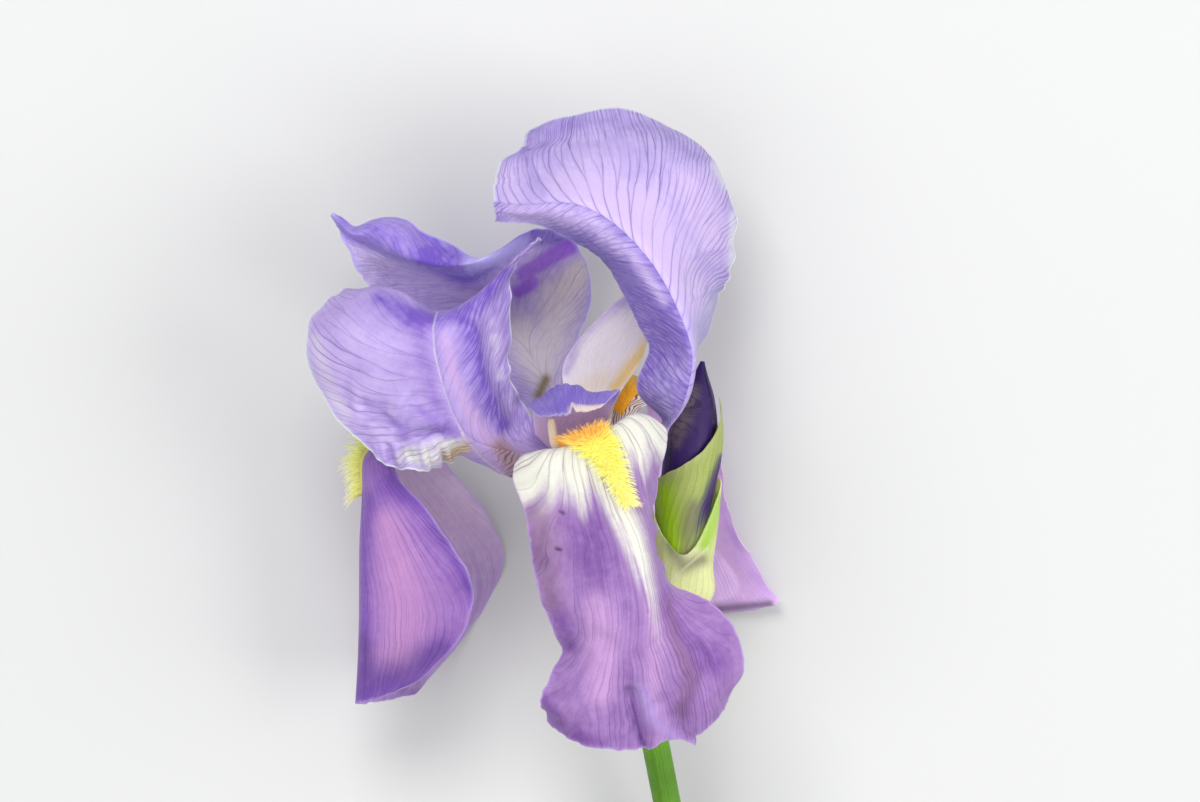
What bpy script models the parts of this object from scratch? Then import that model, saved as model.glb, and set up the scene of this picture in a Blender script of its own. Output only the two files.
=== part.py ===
"""A tall bearded iris flower, picked with its stem and bud, lying on its back.

The flower faces up (+Z) and its stem points to -Y. Petals are given as tables of
points that their surface passes through, from the claw out to the tip. A point is
(right, down, height): right and down in quarter millimetres, height in millimetres.
"""
import math
import random

import bpy
import bmesh
import numpy as np
from mathutils import Vector

STEPS_PER_MM = 4.0        # the tables' right and down values are quarter millimetres
CENTRE_RIGHT = 543.9      # middle of the flower's bounding box, in table values
CENTRE_DOWN = 562.0
MM = 0.001
PETAL_THICKNESS = 0.7     # millimetres, like all lengths from here on
GAP = 0.3                 # between a piece and what carries it
TUBE_TOP = (585.0, 464.0, 45.0)     # where the petals leave the perianth tube
CLAW_RADIUS = 4.9         # the petals' claws stand on this circle
CLAW_HALF_ANGLE = 25.0    # degrees of that circle, to either side of a claw's middle
STYLE_RADIUS = 1.9
FRONT, LEFT, REAR = 15.0, -105.0, 135.0                 # directions of the falls
SIDE, FRONT_LEFT, BACK = 75.0, -45.0, -165.0            # directions of the standards
HAIR_LENGTH = 4.2
HAIR_RADIUS = 0.5
HAIR_SINK = 0.5

# Rows run from the claw to the tip, and each row from one margin to the other.
FALL_FRONT = [
    [(556, 458, 56), (564, 460, 57), (575, 462, 58), (590, 461, 58.5), (605, 458, 58), (618, 452, 57), (628, 446, 55.5)],
    [(521, 457, 65), (538, 451, 69), (562, 448, 71), (590, 439, 71.5), (612, 427, 70), (637, 414, 66.5), (660, 425, 61)],
    [(514, 479, 70), (535, 476, 74), (563, 471, 76.5), (597, 463, 77.5), (622, 452, 76), (648, 446, 72), (665, 452, 65)],
    [(525, 513, 74), (547, 512, 77.5), (577, 509, 80), (609, 500, 81.5), (626, 494, 81), (644, 487, 76), (656, 487, 68)],
    [(531, 548, 76.5), (556, 550, 78.5), (588, 548, 81), (625, 539, 83), (639, 533, 82), (651, 529, 77), (653, 523, 69)],
    [(543, 606, 76), (572, 607, 79), (606, 604, 82.5), (641, 596, 83.5), (655, 588, 82), (664, 581, 78), (666, 574, 71)],
    [(561, 650, 73), (585, 652, 78), (613, 651, 81.5), (641, 645, 81), (668, 634, 81), (693, 621, 79), (716, 608, 75)],
    [(543, 690, 73), (570, 696, 77), (603, 699, 79), (638, 696, 76), (675, 684, 79), (712, 668, 80), (742, 652, 75)],
    [(548, 721, 69), (574, 740, 73), (605, 748, 74), (644, 747, 70), (670, 739, 74), (699, 733, 75), (728, 702, 73)],
]
FALL_LEFT = [
    [(530, 455, 45), (530, 459, 43), (530, 461, 41), (530, 459, 38), (530, 455, 36)],
    [(462, 451, 45), (458, 453, 41), (452, 454, 37), (455, 452, 31), (462, 448, 26)],
    [(396, 462, 47), (386, 451, 44), (375, 448, 38), (392, 449, 29), (440, 455, 21)],
    [(415, 496, 49), (376, 487, 45), (363, 481, 37), (390, 484, 25), (456, 478, 14)],
    [(448, 540, 50), (392, 538, 46), (360, 532, 36), (400, 528, 21), (490, 524, 8)],
    [(473, 592, 49), (405, 597, 44), (359, 590, 34), (405, 578, 16), (499, 578, 0.6)],
    [(450, 652, 45), (402, 658, 40), (358, 650, 32), (400, 640, 17), (462, 640, 4)],
    [(400, 690, 40), (380, 699, 36), (355, 706, 31), (378, 703, 25), (414, 697, 19)],
]
FALL_REAR = [
    [(622, 440, 38), (618, 441, 37), (613, 440, 35), (607, 437, 33.5), (603, 431, 33)],
    [(652, 402, 33), (644, 398, 30.5), (634, 391, 28), (622, 383, 26.5), (612, 372, 27)],
    [(712, 426, 17), (700, 410, 16), (683, 400, 15), (664, 398, 14), (646, 402, 14)],
    [(724, 487, 10), (706, 482, 8), (684, 480, 6), (662, 482, 6), (640, 488, 9)],
    [(742, 540, 6), (716, 540, 1.6), (688, 541, -0.8), (660, 543, -0.6), (634, 548, 3.5)],
    [(765, 580, 4), (732, 586, -0.6), (697, 590, -1.2), (662, 590, -0.6), (630, 590, 3)],
    [(784, 604, 6), (752, 612, 4), (716, 617, 2.5), (682, 622, 3.5), (650, 616, 6)],
]
STANDARD_SIDE = [
    [(608, 455, 48), (610, 456, 47.8), (612, 456, 47.3), (613, 455, 46.4), (613, 454, 45.4), (611, 452, 44.4)],
    [(630, 443, 49.5), (636, 444, 51), (643, 443, 52), (648, 442, 50), (649, 440, 47), (646, 437, 44)],
    [(663, 422, 52), (667, 423, 54), (673, 420, 56), (677, 417, 53.5), (678, 412, 49), (673, 406, 44.5)],
    [(638, 392, 55), (658, 394, 60), (686, 394, 63), (690, 388, 58), (688, 381, 50.5), (683, 372, 44)],
    [(648, 355, 56), (668, 357, 62), (692, 364, 66.5), (695, 353, 60), (697, 343, 50), (699, 344, 41)],
    [(640, 328, 56), (661, 325, 64), (685, 329, 69), (695, 318, 62), (704, 306, 50), (717, 299, 38)],
    [(610, 270, 57), (629, 273, 66), (654, 267, 70.5), (679, 259, 62), (705, 255, 47), (731, 272, 33)],
    [(580, 245, 58), (591, 239, 66), (604, 217, 71), (652, 198, 61), (699, 180, 46), (729, 188, 31)],
    [(548, 228, 59), (553, 221, 64), (562, 203, 69), (604, 164, 58), (644, 135, 44), (664, 120, 32)],
    [(519, 223, 60), (523, 216, 63), (530, 205, 66), (550, 166, 56), (572, 137, 46), (588, 110, 37)],
    [(497, 222, 60), (496, 213, 61), (495, 203, 60), (498, 181, 56), (512, 158, 51), (527, 129, 45)],
]
STANDARD_LEFT = [
    [(550, 464, 47.5), (550, 461, 48.4), (550, 458, 49.2), (551, 455, 49.8), (553, 452, 50), (555, 449, 49.8)],
    [(524, 479, 49), (522, 470, 51.5), (522, 462, 53), (524, 453, 54), (529, 442, 54), (536, 430, 53)],
    [(486, 467, 50), (486, 461, 53.5), (486, 454, 56), (488, 446, 57.5), (500, 431, 57), (519, 408, 54)],
    [(454, 458, 53), (457, 451, 57), (460, 444, 59.5), (466, 434, 62), (485, 412, 61.5), (511, 380, 55.5)],
    [(423, 471, 58), (431, 452, 60.5), (440, 433, 63.5), (451, 409, 67), (477, 387, 67), (509, 350, 57)],
    [(384, 460, 58.5), (397, 435, 62.5), (415, 409, 67), (441, 377, 71), (472, 357, 70), (511, 314, 58)],
    [(334, 413, 57), (355, 394, 62), (390, 372, 68.5), (434, 343, 73), (469, 330, 71), (511, 279, 57)],
    [(305, 342, 53), (330, 338, 61), (372, 330, 67.5), (431, 319, 70.5), (473, 300, 66), (524, 251, 56)],
    [(328, 301, 50), (350, 299, 55), (387, 297, 60), (435, 312, 63), (479, 299, 60), (540, 238, 54)],
    [(348, 296, 45.5), (372, 300, 47), (404, 309, 49.5), (440, 322, 52), (480, 310, 52.5), (526, 254, 50)],
]
STANDARD_BACK = [
    [(563, 430, 36), (568, 428, 34.5), (575, 427, 34), (582, 428, 34.5), (587, 430, 36)],
    [(515, 400, 28), (532, 391, 22), (548, 386, 20), (566, 383, 23), (583, 382, 29)],
    [(462, 365, 23), (494, 350, 11), (524, 340, 6.5), (556, 337, 12), (580, 335, 22)],
    [(420, 332, 22), (456, 308, 7), (496, 292, -0.6), (545, 285, 6), (591, 275, 20)],
    [(382, 306, 25), (412, 287, 14), (450, 277, 17), (497, 266, 30), (545, 227, 31)],
    [(358, 272, 30), (372, 261, 30), (392, 258, 37), (418, 260, 42), (450, 246, 35)],
    [(342, 240, 35), (346, 236, 36), (350, 234, 38), (356, 230, 37), (362, 224, 34)],
    [(330, 216, 38), (331, 215, 38.5), (332, 214, 39), (334, 214, 38.5), (336, 215, 38)],
]
STYLE_FRONT = [
    [(569, 446, 49.8), (577, 444, 50.5), (588, 444, 50.5), (598, 447, 49.5)],
    [(545, 430, 53), (566, 418, 55.5), (590, 418, 55.5), (606, 430, 53)],
    [(533, 412, 58), (560, 402, 61), (590, 402, 61), (612, 408, 58)],
    [(529, 409, 64), (557, 386, 66), (586, 391, 66), (620, 393, 63)],
    [(541, 418, 70), (562, 414, 72), (584, 411, 72), (600, 408, 69)],
]
STYLE_REAR = [
    [(577, 428, 44), (585, 424, 43), (595, 424, 42.5), (603, 429, 42)],
    [(566, 392, 42), (580, 388, 39), (597, 387, 38), (611, 392, 38)],
    [(566, 358, 39), (584, 350, 38), (603, 350, 37), (622, 360, 34)],
    [(598, 318, 38), (610, 318, 38), (622, 322, 37), (636, 334, 34)],
    [(630, 291, 37), (636, 292, 37), (641, 296, 36.5), (647, 304, 35)],
]
STYLE_LEFT = [
    [(565, 441, 46), (563, 440, 44.5), (562, 440, 43), (563, 441, 41.5)],
    [(538, 427, 47), (533, 424, 44), (531, 424, 41), (534, 427, 37.5)],
    [(500, 414, 46.5), (494, 407, 43), (493, 407, 39), (500, 414, 34.5)],
    [(470, 404, 46), (462, 392, 43), (461, 392, 38), (470, 404, 34)],
    [(455, 390, 47), (450, 378, 44), (449, 378, 37), (455, 390, 33)],
]

# Middle line and radius of each round piece, from the bottom up.
STEM_LINE = [
    ((706, 1000, 3.55), 3.6), ((700, 970, 5.8), 3.5), ((667, 802, 17.5), 3.5),
    ((655, 742, 22.0), 3.5), ((649, 719, 23.7), 3.7), ((647, 699, 24.3), 5.2),
]
TUBE_LINE = [
    ((636, 697, 24.8), 2.2), ((635, 680, 26.2), 2.3), ((633, 660, 28.4), 2.6),
    ((627, 620, 33.0), 4.2), ((618, 580, 37.0), 4.4), ((606, 545, 40.5), 3.0),
    ((593, 508, 43.8), 2.7), ((587, 488, 44.8), 2.8), ((585, 475, 45.0), 3.8),
    ((585, 465, 45.0), 5.3),
]
BUD_LINE = [
    ((659, 697, 24.6), 1.2), ((660, 680, 25.4), 1.3), ((664, 655, 27.0), 1.8),
    ((674, 610, 29.2), 3.0),
    ((682, 570, 30.4), 4.6), ((687, 530, 31.3), 5.5), ((689, 490, 31.8), 5.9),
    ((692, 455, 32.0), 6.3), ((695, 430, 32.0), 6.2), ((699, 400, 32.0), 4.4),
    ((701, 380, 32.0), 2.4), ((703, 361, 32.0), 0.5),
]
STYLE_COLUMN = [((585, 463, 45.0), 2.1), ((584, 449, 45.2), 2.1), ((583, 438, 45.5), 1.2)]
STAMEN_FRONT = [
    ((588, 463, 48.2), 0.5), ((585, 456, 50.0), 0.5), ((576, 452, 53.2), 0.5),
    ((566, 448, 57), 0.6), ((559, 443, 60), 0.7), ((556, 437, 61), 1.1), ((552, 418, 62.5), 0.9),
]
STAMEN_LEFT = [
    ((572.5, 463, 44.1), 0.5), ((560, 451, 43.5), 0.5), ((540, 443, 43), 0.5),
    ((522, 438, 42.6), 0.7), ((514, 437, 42.4), 1.1), ((488, 433, 41.5), 0.9),
]
STAMEN_REAR = [
    ((594, 463, 42.7), 0.5), ((599, 452, 41.0), 0.5), ((604, 438, 39.0), 0.5),
    ((607, 426, 37.6), 0.7), ((608, 418, 37.2), 0.9), ((612, 398, 35.5), 0.7),
]


def place(point):
    """World position, in metres, of a table point."""
    right, down, height = point
    x = (right - CENTRE_RIGHT) / STEPS_PER_MM
    y = (CENTRE_DOWN - down) / STEPS_PER_MM
    return Vector((x * MM, y * MM, height * MM))


def material(name, colour, roughness):
    """A Principled material of one colour."""
    made = bpy.data.materials.new(name)
    made.use_nodes = True
    shader = made.node_tree.nodes["Principled BSDF"]
    shader.inputs["Base Color"].default_value = (*colour, 1.0)
    shader.inputs["Roughness"].default_value = roughness
    shader.inputs["Metallic"].default_value = 0.0
    return made


def new_object(name, mesh, collection, look):
    """An object with its mesh and material, in its collection."""
    made = bpy.data.objects.new(name, mesh)
    collection.objects.link(made)
    mesh.materials.append(look)
    return made


def cage_through(rows):
    """Control points whose subdivided surface passes through the given points."""
    points = np.array(rows, dtype=float)
    for axis in (0, 1):
        count = points.shape[axis]
        weights = np.eye(count)
        for i in range(1, count - 1):
            weights[i, i - 1:i + 2] = (1 / 6, 4 / 6, 1 / 6)
        turned = np.moveaxis(points, axis, 0)
        solved = np.linalg.solve(weights, turned.reshape(count, -1))
        points = np.moveaxis(solved.reshape(turned.shape), 0, axis)
    return points


def claw_row(direction, count, radius, half_angle):
    """Points of a claw's foot on the tube's rim, from left margin to right."""
    right, down, height = TUBE_TOP
    row = []
    for i in range(count):
        angle = math.radians(direction + half_angle * (2 * i / (count - 1) - 1))
        across = right + STEPS_PER_MM * radius * math.sin(angle)
        foot = down - STEPS_PER_MM * (GAP + 0.15)
        row.append((across, foot, height + radius * math.cos(angle)))
    return row


def grid_mesh(name, points):
    """A mesh of four-sided faces through a grid of control points."""
    rows, columns = points.shape[0], points.shape[1]
    mesh = bpy.data.meshes.new(name)
    corners = [place(points[i, j]) for i in range(rows) for j in range(columns)]
    faces = []
    for i in range(rows - 1):
        for j in range(columns - 1):
            first = i * columns + j
            faces.append((first, first + 1, first + columns + 1, first + columns))
    mesh.from_pydata(corners, [], faces)
    return mesh


def applied(piece):
    """Replace an object's mesh by its evaluated one and clear its modifiers."""
    graph = bpy.context.evaluated_depsgraph_get()
    old = piece.data
    piece.data = bpy.data.meshes.new_from_object(piece.evaluated_get(graph))
    piece.data.name = piece.name
    piece.modifiers.clear()
    bpy.data.meshes.remove(old)


def subdivide(piece, levels):
    """Add a Subdivision Surface that keeps the cage's corners, then split alike."""
    smooth = piece.modifiers.new("subdivide", "SUBSURF")
    smooth.levels = levels
    smooth.render_levels = levels
    smooth.boundary_smooth = "PRESERVE_CORNERS"
    split = piece.modifiers.new("split", "TRIANGULATE")
    split.quad_method = "FIXED"


def waved(rows, size):
    """The rows with their margins raised and lowered in turn, as a ruffled edge."""
    result = []
    for i, row in enumerate(rows):
        shift = size if i % 2 else -size
        moved = [tuple(point) for point in row]
        for end, share in ((0, 1.0), (1, 0.3), (-2, 0.3), (-1, 1.0)):
            right, down, height = moved[end]
            moved[end] = (right, down, height + shift * share)
        result.append(moved)
    return result


def foot_and_rows(rows, direction, radius, half_angle):
    """The foot on the tube's rim and the rows, with their margins on the same sides."""
    foot = claw_row(direction, len(rows[0]), radius, half_angle)
    if math.dist(foot[0], rows[0][0]) > math.dist(foot[-1], rows[0][0]):
        foot.reverse()
    return [foot] + rows


def evened(rows, row_steps, column_steps):
    """Points at even steps on the smooth surface through the given rows."""
    cage = cage_through(rows)
    result = []
    for along in np.linspace(0, cage.shape[0] - 1, row_steps + 1):
        across = np.linspace(0, cage.shape[1] - 1, column_steps + 1)
        result.append([surface_point(cage, along, u) for u in across])
    return result


def blade(name, rows, direction, steps, collection, look,
          radius=CLAW_RADIUS, half_angle=CLAW_HALF_ANGLE, pressed=False):
    """A petal or style arm: its claw's foot, then the rows of its table."""
    rows = evened(foot_and_rows(rows, direction, radius, half_angle), *steps)
    piece = new_object(name, grid_mesh(name, cage_through(rows)), collection, look)
    subdivide(piece, 1)
    if pressed:
        applied(piece)
        for corner in piece.data.vertices:
            corner.co.z = max(corner.co.z, PETAL_THICKNESS * MM / 2)
    thick = piece.modifiers.new("thick", "SOLIDIFY")
    thick.thickness = PETAL_THICKNESS * MM
    thick.offset = 0.0
    thick.use_even_offset = True
    piece.data.shade_smooth()
    return piece


def surface_point(cage, along, across):
    """A table point of the subdivided surface, at fractions of a row and a column."""
    def weights(count, place_in_rows):
        first = min(int(place_in_rows), count - 2)
        t = place_in_rows - first
        result = np.zeros(count + 2)
        result[first:first + 4] = ((1 - t) ** 3 / 6, (3 * t ** 3 - 6 * t ** 2 + 4) / 6,
                                   (-3 * t ** 3 + 3 * t ** 2 + 3 * t + 1) / 6, t ** 3 / 6)
        result[1] += 2 * result[0]
        result[2] -= result[0]
        result[-2] += 2 * result[-1]
        result[-3] -= result[-1]
        return result[1:-1]
    return np.einsum("i,j,ijk->k", weights(cage.shape[0], along),
                     weights(cage.shape[1], across), cage)


def surface_frame(cage, along, across, side):
    """World point of a surface, its direction to the tip and its normal on one side."""
    step = 0.02
    point = place(surface_point(cage, along, across))
    ahead = place(surface_point(cage, along + step, across)) - point
    beside = place(surface_point(cage, along, across + step)) - point
    normal = ahead.cross(beside).normalized() * side
    return point, ahead.normalized(), normal


def round_piece(name, line, collection, look, resolution=4):
    """A rod of changing radius along a line of points, with closed ends."""
    curve = bpy.data.curves.new(name, "CURVE")
    curve.dimensions = "3D"
    curve.bevel_depth = MM
    curve.bevel_resolution = resolution
    curve.use_fill_caps = True
    smooth = smooth_line(line)
    spline = curve.splines.new("POLY")
    spline.points.add(len(smooth) - 1)
    for point, (position, radius) in zip(spline.points, smooth):
        point.co = (*place(position), 1.0)
        point.radius = radius
    rod = bpy.data.objects.new(name + "_line", curve)
    collection.objects.link(rod)
    graph = bpy.context.evaluated_depsgraph_get()
    mesh = bpy.data.meshes.new_from_object(rod.evaluated_get(graph))
    bpy.data.objects.remove(rod)
    shell = bmesh.new()
    shell.from_mesh(mesh)
    bmesh.ops.remove_doubles(shell, verts=shell.verts, dist=0.00001)
    for position, radius in (smooth[0], smooth[-1]):
        end = place(position)
        for corner in shell.verts:
            if abs((corner.co - end).length - radius * MM) < 0.02 * radius * MM:
                corner.co.y = end.y
    bmesh.ops.recalc_face_normals(shell, faces=shell.faces)
    shell.to_mesh(mesh)
    shell.free()
    mesh.materials.clear()
    mesh.shade_smooth()
    mesh.set_sharp_from_angle(angle=math.radians(50))
    return new_object(name, mesh, collection, look)


def smooth_line(line, steps=3):
    """Points and radii between those of a line, on a smooth curve through them."""
    table = [[(*position, radius)] * 2 for position, radius in line]
    cage = cage_through(table)
    result = []
    for i in range((len(line) - 1) * steps + 1):
        values = surface_point(cage, i / steps, 0.0)
        result.append((tuple(values[:3]), max(float(values[3]), 0.3)))
    return result


def line_at(line, down):
    """Middle and radius of a line of points at a given height in the picture."""
    smooth = smooth_line(line, 6)
    downs = [position[1] for position, _ in smooth][::-1]
    right = np.interp(down, downs, [position[0] for position, _ in smooth][::-1])
    height = np.interp(down, downs, [position[2] for position, _ in smooth][::-1])
    radius = np.interp(down, downs, [radius for _, radius in smooth][::-1])
    return float(right), float(height), float(radius)


def sheath(name, starts, ends, mouth, base, clearance, collection, look):
    """A bract wrapped round the bud: open rings of points between base and mouth."""
    rows = []
    levels = len(starts) - 1
    mouth_angles = [angle for angle, _ in mouth]
    mouth_downs = [down for _, down in mouth]
    for i in range(levels + 1):
        row = []
        for angle in np.linspace(starts[i], ends[i], 9):
            top = float(np.interp(angle, mouth_angles, mouth_downs))
            down = base + (top - base) * i / levels
            right, height, radius = line_at(BUD_LINE, down)
            turn = math.radians(angle)
            across = right + STEPS_PER_MM * (radius + clearance) * math.sin(turn)
            row.append((across, down, height + (radius + clearance) * math.cos(turn)))
        rows.append(row)
    piece = new_object(name, grid_mesh(name, cage_through(rows)), collection, look)
    subdivide(piece, 1)
    thick = piece.modifiers.new("thick", "SOLIDIFY")
    thick.thickness = PETAL_THICKNESS * MM
    thick.offset = 0.0
    piece.data.shade_smooth()
    return piece


def fused(name, base, extras, look):
    """One solid from a base object and the collection of objects that join it."""
    union = base.modifiers.new("fuse", "BOOLEAN")
    union.operation = "UNION"
    union.solver = "MANIFOLD"
    union.operand_type = "COLLECTION"
    union.collection = extras
    applied(base)
    for extra in list(extras.objects):
        bpy.data.objects.remove(extra)
    bpy.data.collections.remove(extras)
    base.data.materials.clear()
    base.data.materials.append(look)
    return base


def beard(name, rows, direction, along, middle, half_width, side, hairs, collection, look):
    """A strip on the haft's upper face with tapered hairs fused to it."""
    rows = foot_and_rows(rows, direction, CLAW_RADIUS, CLAW_HALF_ANGLE)
    cage = cage_through(rows)
    strip_thickness = 0.6
    lift = PETAL_THICKNESS / 2 + GAP + 0.1 + strip_thickness / 2
    grid = []
    for i in range(9):
        v = along[0] + (along[1] - along[0]) * i / 8
        line = []
        for share in (-1, -0.3, 0.3, 1):
            u = middle[0] + (middle[1] - middle[0]) * i / 8 + half_width * share
            point, _, normal = surface_frame(cage, v, u, side)
            line.append(point + normal * lift * MM)
        grid.append(line)
    mesh = bpy.data.meshes.new(name)
    corners = [corner for line in grid for corner in line]
    faces = []
    for i in range(8):
        for j in range(3):
            first = i * 4 + j
            faces.append((first, first + 1, first + 5, first + 4))
    mesh.from_pydata(corners, [], faces)
    strip = new_object(name, mesh, collection, look)
    thick = strip.modifiers.new("thick", "SOLIDIFY")
    thick.thickness = strip_thickness * MM
    thick.offset = 0.0
    applied(strip)
    extras = bpy.data.collections.new(name + "_hairs")
    bpy.context.scene.collection.children.link(extras)
    draw = random.Random(7)
    for i in range(hairs):
        share = (i + 0.5) / hairs
        v = along[0] + (along[1] - along[0]) * share
        offset = draw.uniform(-0.8, 0.8)
        u = middle[0] + (middle[1] - middle[0]) * share + half_width * offset
        point, ahead, normal = surface_frame(cage, v, u, side)
        aside = ahead.cross(normal) * (offset + draw.uniform(-0.3, 0.3)) * side
        lean = (normal + ahead * draw.uniform(0.2, 0.8) + aside).normalized()
        length = HAIR_LENGTH * draw.uniform(0.75, 1.1)
        root = point + normal * (lift + strip_thickness / 2 - HAIR_SINK) * MM
        hair_mesh = bpy.data.meshes.new(name + "_hair")
        cone = bmesh.new()
        bmesh.ops.create_cone(cone, cap_ends=True, segments=3, radius1=HAIR_RADIUS * MM,
                              radius2=0.0, depth=length * MM)
        cone.to_mesh(hair_mesh)
        cone.free()
        hair = bpy.data.objects.new(name + "_hair", hair_mesh)
        hair.rotation_mode = "QUATERNION"
        hair.rotation_quaternion = lean.to_track_quat("Z", "Y")
        hair.location = root + lean * length * MM / 2
        extras.objects.link(hair)
    bpy.context.view_layer.update()
    return fused(name, strip, extras, look)


def main():
    """Build every piece of the flower."""
    for old in list(bpy.data.objects):
        bpy.data.objects.remove(old)
    flower = bpy.data.collections.new("iris_flower")
    bpy.context.scene.collection.children.link(flower)
    lilac = material("standard_petal", (0.42, 0.32, 0.78), 0.5)
    violet = material("fall_petal", (0.32, 0.16, 0.60), 0.5)
    pale = material("style_petal", (0.58, 0.46, 0.76), 0.5)
    gold = material("beard_hair", (0.90, 0.62, 0.04), 0.6)
    cream = material("stamen_cream", (0.80, 0.72, 0.52), 0.6)
    purple = material("bud_petal", (0.05, 0.01, 0.16), 0.45)
    leaf = material("bract_green", (0.24, 0.38, 0.07), 0.5)
    paper = material("spathe_paper", (0.62, 0.66, 0.34), 0.6)
    green = material("stem_green", (0.13, 0.32, 0.05), 0.5)
    pale_green = material("tube_green", (0.28, 0.42, 0.16), 0.5)

    blade("fall_front", waved(FALL_FRONT, 1.2), FRONT, (14, 8), flower, violet)
    blade("fall_left", waved(FALL_LEFT, 0.9), LEFT, (12, 7), flower, violet)
    blade("fall_rear", FALL_REAR, REAR, (9, 5), flower, violet, pressed=True)
    blade("standard_side", waved(STANDARD_SIDE, 1.1), SIDE, (16, 7), flower, lilac)
    blade("standard_left", waved(STANDARD_LEFT, 1.0), FRONT_LEFT, (15, 7), flower, lilac)
    blade("standard_back", STANDARD_BACK, BACK, (12, 6), flower, lilac, pressed=True)

    round_piece("perianth_tube", TUBE_LINE, flower, pale_green)
    round_piece("stem", STEM_LINE, flower, green)
    round_piece("bud", BUD_LINE, flower, purple)
    round_piece("stamen_front", STAMEN_FRONT, flower, cream, 1)
    round_piece("stamen_left", STAMEN_LEFT, flower, cream, 1)
    round_piece("stamen_rear", STAMEN_REAR, flower, cream, 1)

    column = round_piece("style", STYLE_COLUMN, flower, pale, 1)
    arms = bpy.data.collections.new("style_arms")
    bpy.context.scene.collection.children.link(arms)
    for name, rows, direction in (("arm_front", STYLE_FRONT, FRONT),
                                  ("arm_rear", STYLE_REAR, REAR),
                                  ("arm_left", STYLE_LEFT, LEFT)):
        blade(name, rows, direction, (6, 3), arms, pale, radius=STYLE_RADIUS,
              half_angle=45)
    fused("style", column, arms, pale)

    bract_mouth = [(-230, 440), (-190, 450), (-150, 465), (-100, 485), (-60, 478),
                   (-20, 468), (20, 452), (60, 425), (100, 398)]
    bract_ends = [-20, -11, 0, 16, 40, 74, 100]
    sheath("bract", [-230] * 7, bract_ends, bract_mouth, 640, 1.12, flower, leaf)
    spathe_mouth = [(-95, 498), (-60, 522), (-25, 548), (10, 556), (45, 520), (80, 486),
                    (120, 478), (160, 484), (200, 500)]
    spathe_starts = [-55, -63, -73, -83, -92, -95, -95]
    sheath("spathe", spathe_starts, [200] * 7, spathe_mouth, 696, 2.2, flower, paper)

    beard("beard_front", waved(FALL_FRONT, 1.2), FRONT, (1.2, 4.0), (2.7, 3.95), 0.32, 1, 60, flower, gold)
    beard("beard_left", waved(FALL_LEFT, 0.9), LEFT, (2.2, 4.3), (2.0, 2.0), 0.12, -1, 30, flower, gold)
    beard("beard_rear", FALL_REAR, REAR, (1.5, 3.0), (2.0, 2.0), 0.25, 1, 24, flower, gold)


main()
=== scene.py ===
"""The iris flower as it looks: fine petals, beards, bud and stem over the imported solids."""
import math
import random

import bpy
import numpy as np
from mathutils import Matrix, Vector


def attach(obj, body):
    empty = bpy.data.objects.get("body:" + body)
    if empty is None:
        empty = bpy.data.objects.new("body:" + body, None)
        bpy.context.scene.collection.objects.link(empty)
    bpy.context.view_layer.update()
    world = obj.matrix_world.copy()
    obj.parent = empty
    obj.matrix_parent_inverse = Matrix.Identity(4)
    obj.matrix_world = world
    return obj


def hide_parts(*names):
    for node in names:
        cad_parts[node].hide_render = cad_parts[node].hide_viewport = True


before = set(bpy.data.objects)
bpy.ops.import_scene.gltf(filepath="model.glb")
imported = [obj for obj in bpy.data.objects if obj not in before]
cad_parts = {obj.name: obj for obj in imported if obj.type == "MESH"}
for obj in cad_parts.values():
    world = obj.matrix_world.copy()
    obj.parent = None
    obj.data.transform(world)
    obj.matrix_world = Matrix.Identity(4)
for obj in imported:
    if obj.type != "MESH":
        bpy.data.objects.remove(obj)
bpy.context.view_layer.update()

STEPS_PER_MM = 4.0        # the tables' right and down values are quarter millimetres
CENTRE_RIGHT = 543.9      # this place of the tables stands at the frame's origin
CENTRE_DOWN = 562.0
MM = 0.001

# Places are (right, down) in table steps, other lengths in millimetres and angles in degrees
TUBE_TOP = (585.0, 464.0, 45.0)     # right, down and height
TUBE_GAP = 1.8            # of the claws' feet from the tube's rim, in table steps
CLAW_RADIUS = 4.9
CLAW_HALF_ANGLE = 25.0
STYLE_RADIUS = 1.9
STYLE_HALF_ANGLE = 45.0
FRONT, LEFT, REAR = 15.0, -105.0, 135.0
SIDE, FRONT_LEFT, BACK = 75.0, -45.0, -165.0
RUFFLED_FROM = 0.6        # of the way from midrib to margin
NEARBY = 0.02             # of a step between a table's rows or columns
THINNEST_RADIUS = 0.25
HAIR_RADIUS, HAIR_RINGS, HAIR_SIDES = 0.1, 5, 4
STRIPE_BROWN = (106, 58, 48)
FLOOR_GAP = 0.05          # between the lowest petal and the ground
FLOOR_LEVEL = -0.2
FLOOR_REACH = 3000.0
PHOTO_MIDDLE = (600, 401)
CAMERA_HEIGHT = 5055.0
LIT_PLACE = (0, 0.02, 0.04)         # in metres, where the lamps aim

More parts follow.
